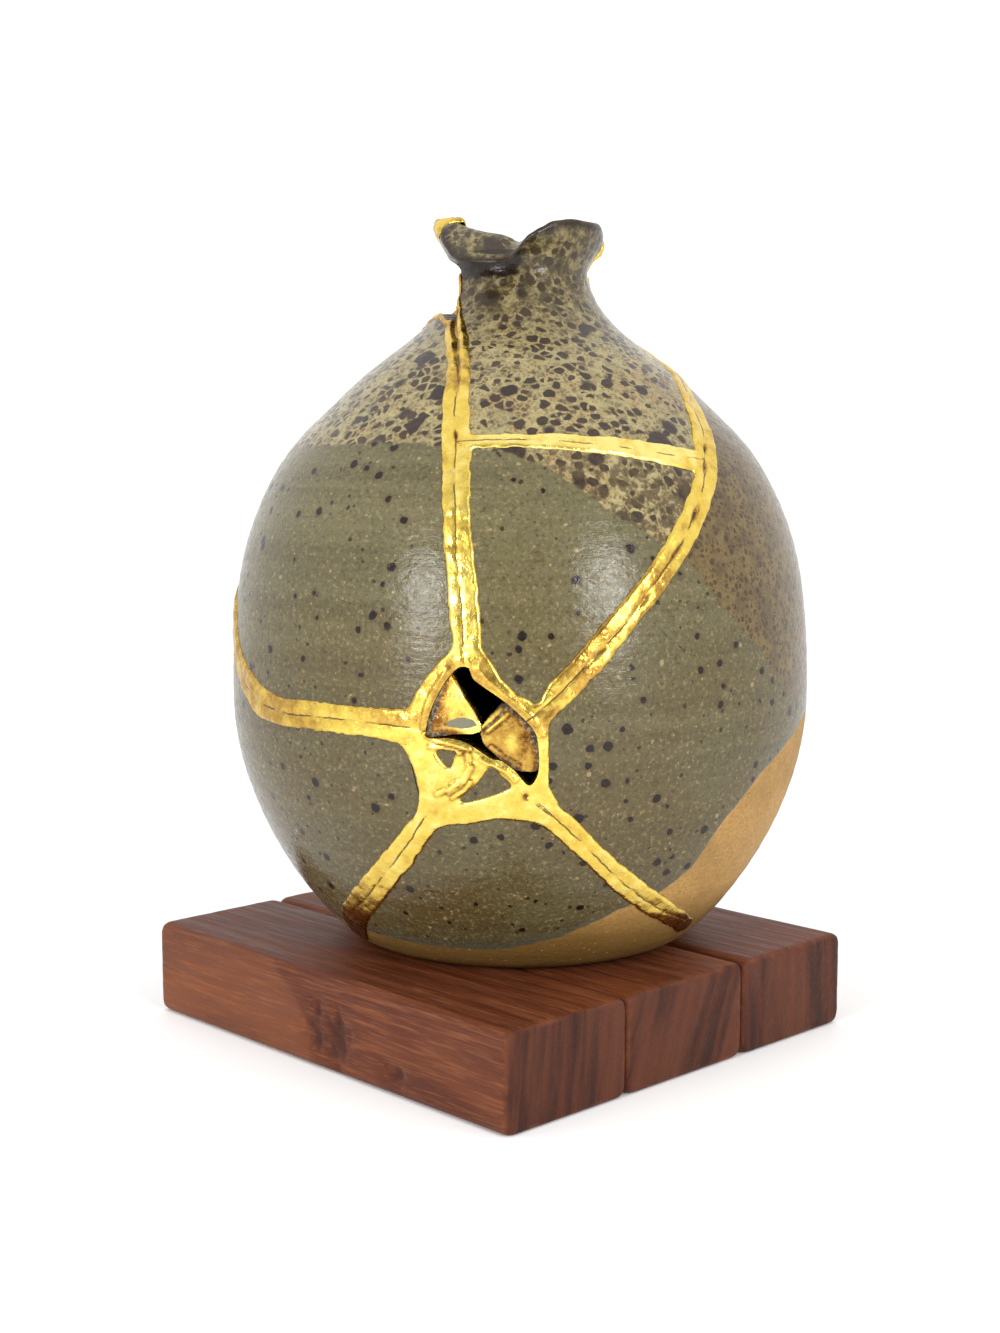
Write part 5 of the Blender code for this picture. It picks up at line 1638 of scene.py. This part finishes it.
def light_white_room(tree):
    """White all round, dimmer on the side that the vase faces, so that glaze and gold mirror a room."""
    light = tree.nodes["Background"]
    light.inputs[0].default_value = (1.0, 1.0, 1.0, 1.0)
    heading = math.radians(FRONT_AZIMUTH)
    toward = tree.nodes.new("ShaderNodeVectorMath")
    toward.operation = "DOT_PRODUCT"
    tree.links.new(tree.nodes.new("ShaderNodeTexCoord").outputs["Generated"], toward.inputs[0])
    toward.inputs[1].default_value = (math.cos(heading), math.sin(heading), 0.10)
    dim = tree.nodes.new("ShaderNodeMapRange")
    dim.interpolation_type = "SMOOTHSTEP"
    tree.links.new(toward.outputs["Value"], dim.inputs["Value"])
    dim.inputs["From Min"].default_value = 0.30
    dim.inputs["From Max"].default_value = 0.95
    dim.inputs["To Min"].default_value = ROOM_BACK
    dim.inputs["To Max"].default_value = ROOM_FRONT
    seen = tree.nodes.new("ShaderNodeMix")
    tree.links.new(tree.nodes.new("ShaderNodeLightPath").outputs["Is Camera Ray"], seen.inputs[0])
    tree.links.new(dim.outputs["Result"], seen.inputs[2])
    seen.inputs[3].default_value = ROOM_SEEN
    tree.links.new(seen.outputs[0], light.inputs[1])


def studio():
    deselect_all()
    bpy.ops.mesh.primitive_plane_add(size=14.0, location=(0.0, 0.0, 0.0))
    floor = bpy.context.object
    floor.name = "paper_floor"
    floor.data.materials.append(paper_finish())
    world = bpy.data.worlds.new("white_room")
    world.use_nodes = True
    light_white_room(world.node_tree)
    bpy.context.scene.world = world
    bpy.context.scene.view_settings.view_transform = "Standard"
    for window in WINDOWS:
        softbox(*window)
    cam = bpy.data.cameras.new("camera")
    cam.lens = CAMERA_LENS
    cam.sensor_fit = "VERTICAL"
    cam.sensor_height = CAMERA_SENSOR
    view = bpy.data.objects.new("camera", cam)
    bpy.context.scene.collection.objects.link(view)
    view.location = CAMERA_PLACE
    view.rotation_euler = (math.radians(90.0 + CAMERA_PITCH), 0.0, math.radians(CAMERA_HEADING))
    bpy.context.scene.camera = view


def finished(obj, nodes, finish, angle):
    """Bring a piece to metres, smooth it, and give it its finish and its place in the frame."""
    obj.data.transform(Matrix.Scale(MM, 4))
    obj.data.materials.clear()
    obj.data.materials.append(finish)
    smooth(obj, angle)
    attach(obj, "root")
    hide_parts(*nodes)


def main():
    vessel = thrown_vessel()
    wall = Wall(vessel)
    glaze = glaze_finish()
    gold = gold_finish()
    network = gold_network(wall)
    tip = lip_gold("gold_lip_end", *LIP_END)
    band = lip_gold("gold_lip_seam", *LIP_SEAM)
    left = sunk_piece("gilded_fragment_left", wall, SUNK_LEFT, 3.0, left_fragment)
    right = sunk_piece("gilded_fragment_right", wall, SUNK_RIGHT, 1.9, right_fragment)
    for name, shard in broken_vessel(vessel):
        glaze_values(shard)
        finished(shard, (name,), glaze, 38.0)
    finished(network, ("gold_seams",), gold, 60.0)
    finished(tip, ("gold_lip_tip",), gold, 60.0)
    finished(band, ("gold_seams",), gold, 60.0)
    finished(left, ("fragment_sunk_left",), gold, 60.0)
    finished(right, ("fragment_sunk_right",), gold, 60.0)
    for k, (part, pith, lean) in enumerate(BOARDS):
        board = dressed_board("board_" + part, "base_board_" + part, 37.0 * k)
        wood = wood_finish("stained_softwood_" + part, pith, 53.0 * k, lean)
        finished(board, ("base_board_" + part,), wood, 35.0)
    studio()


main()
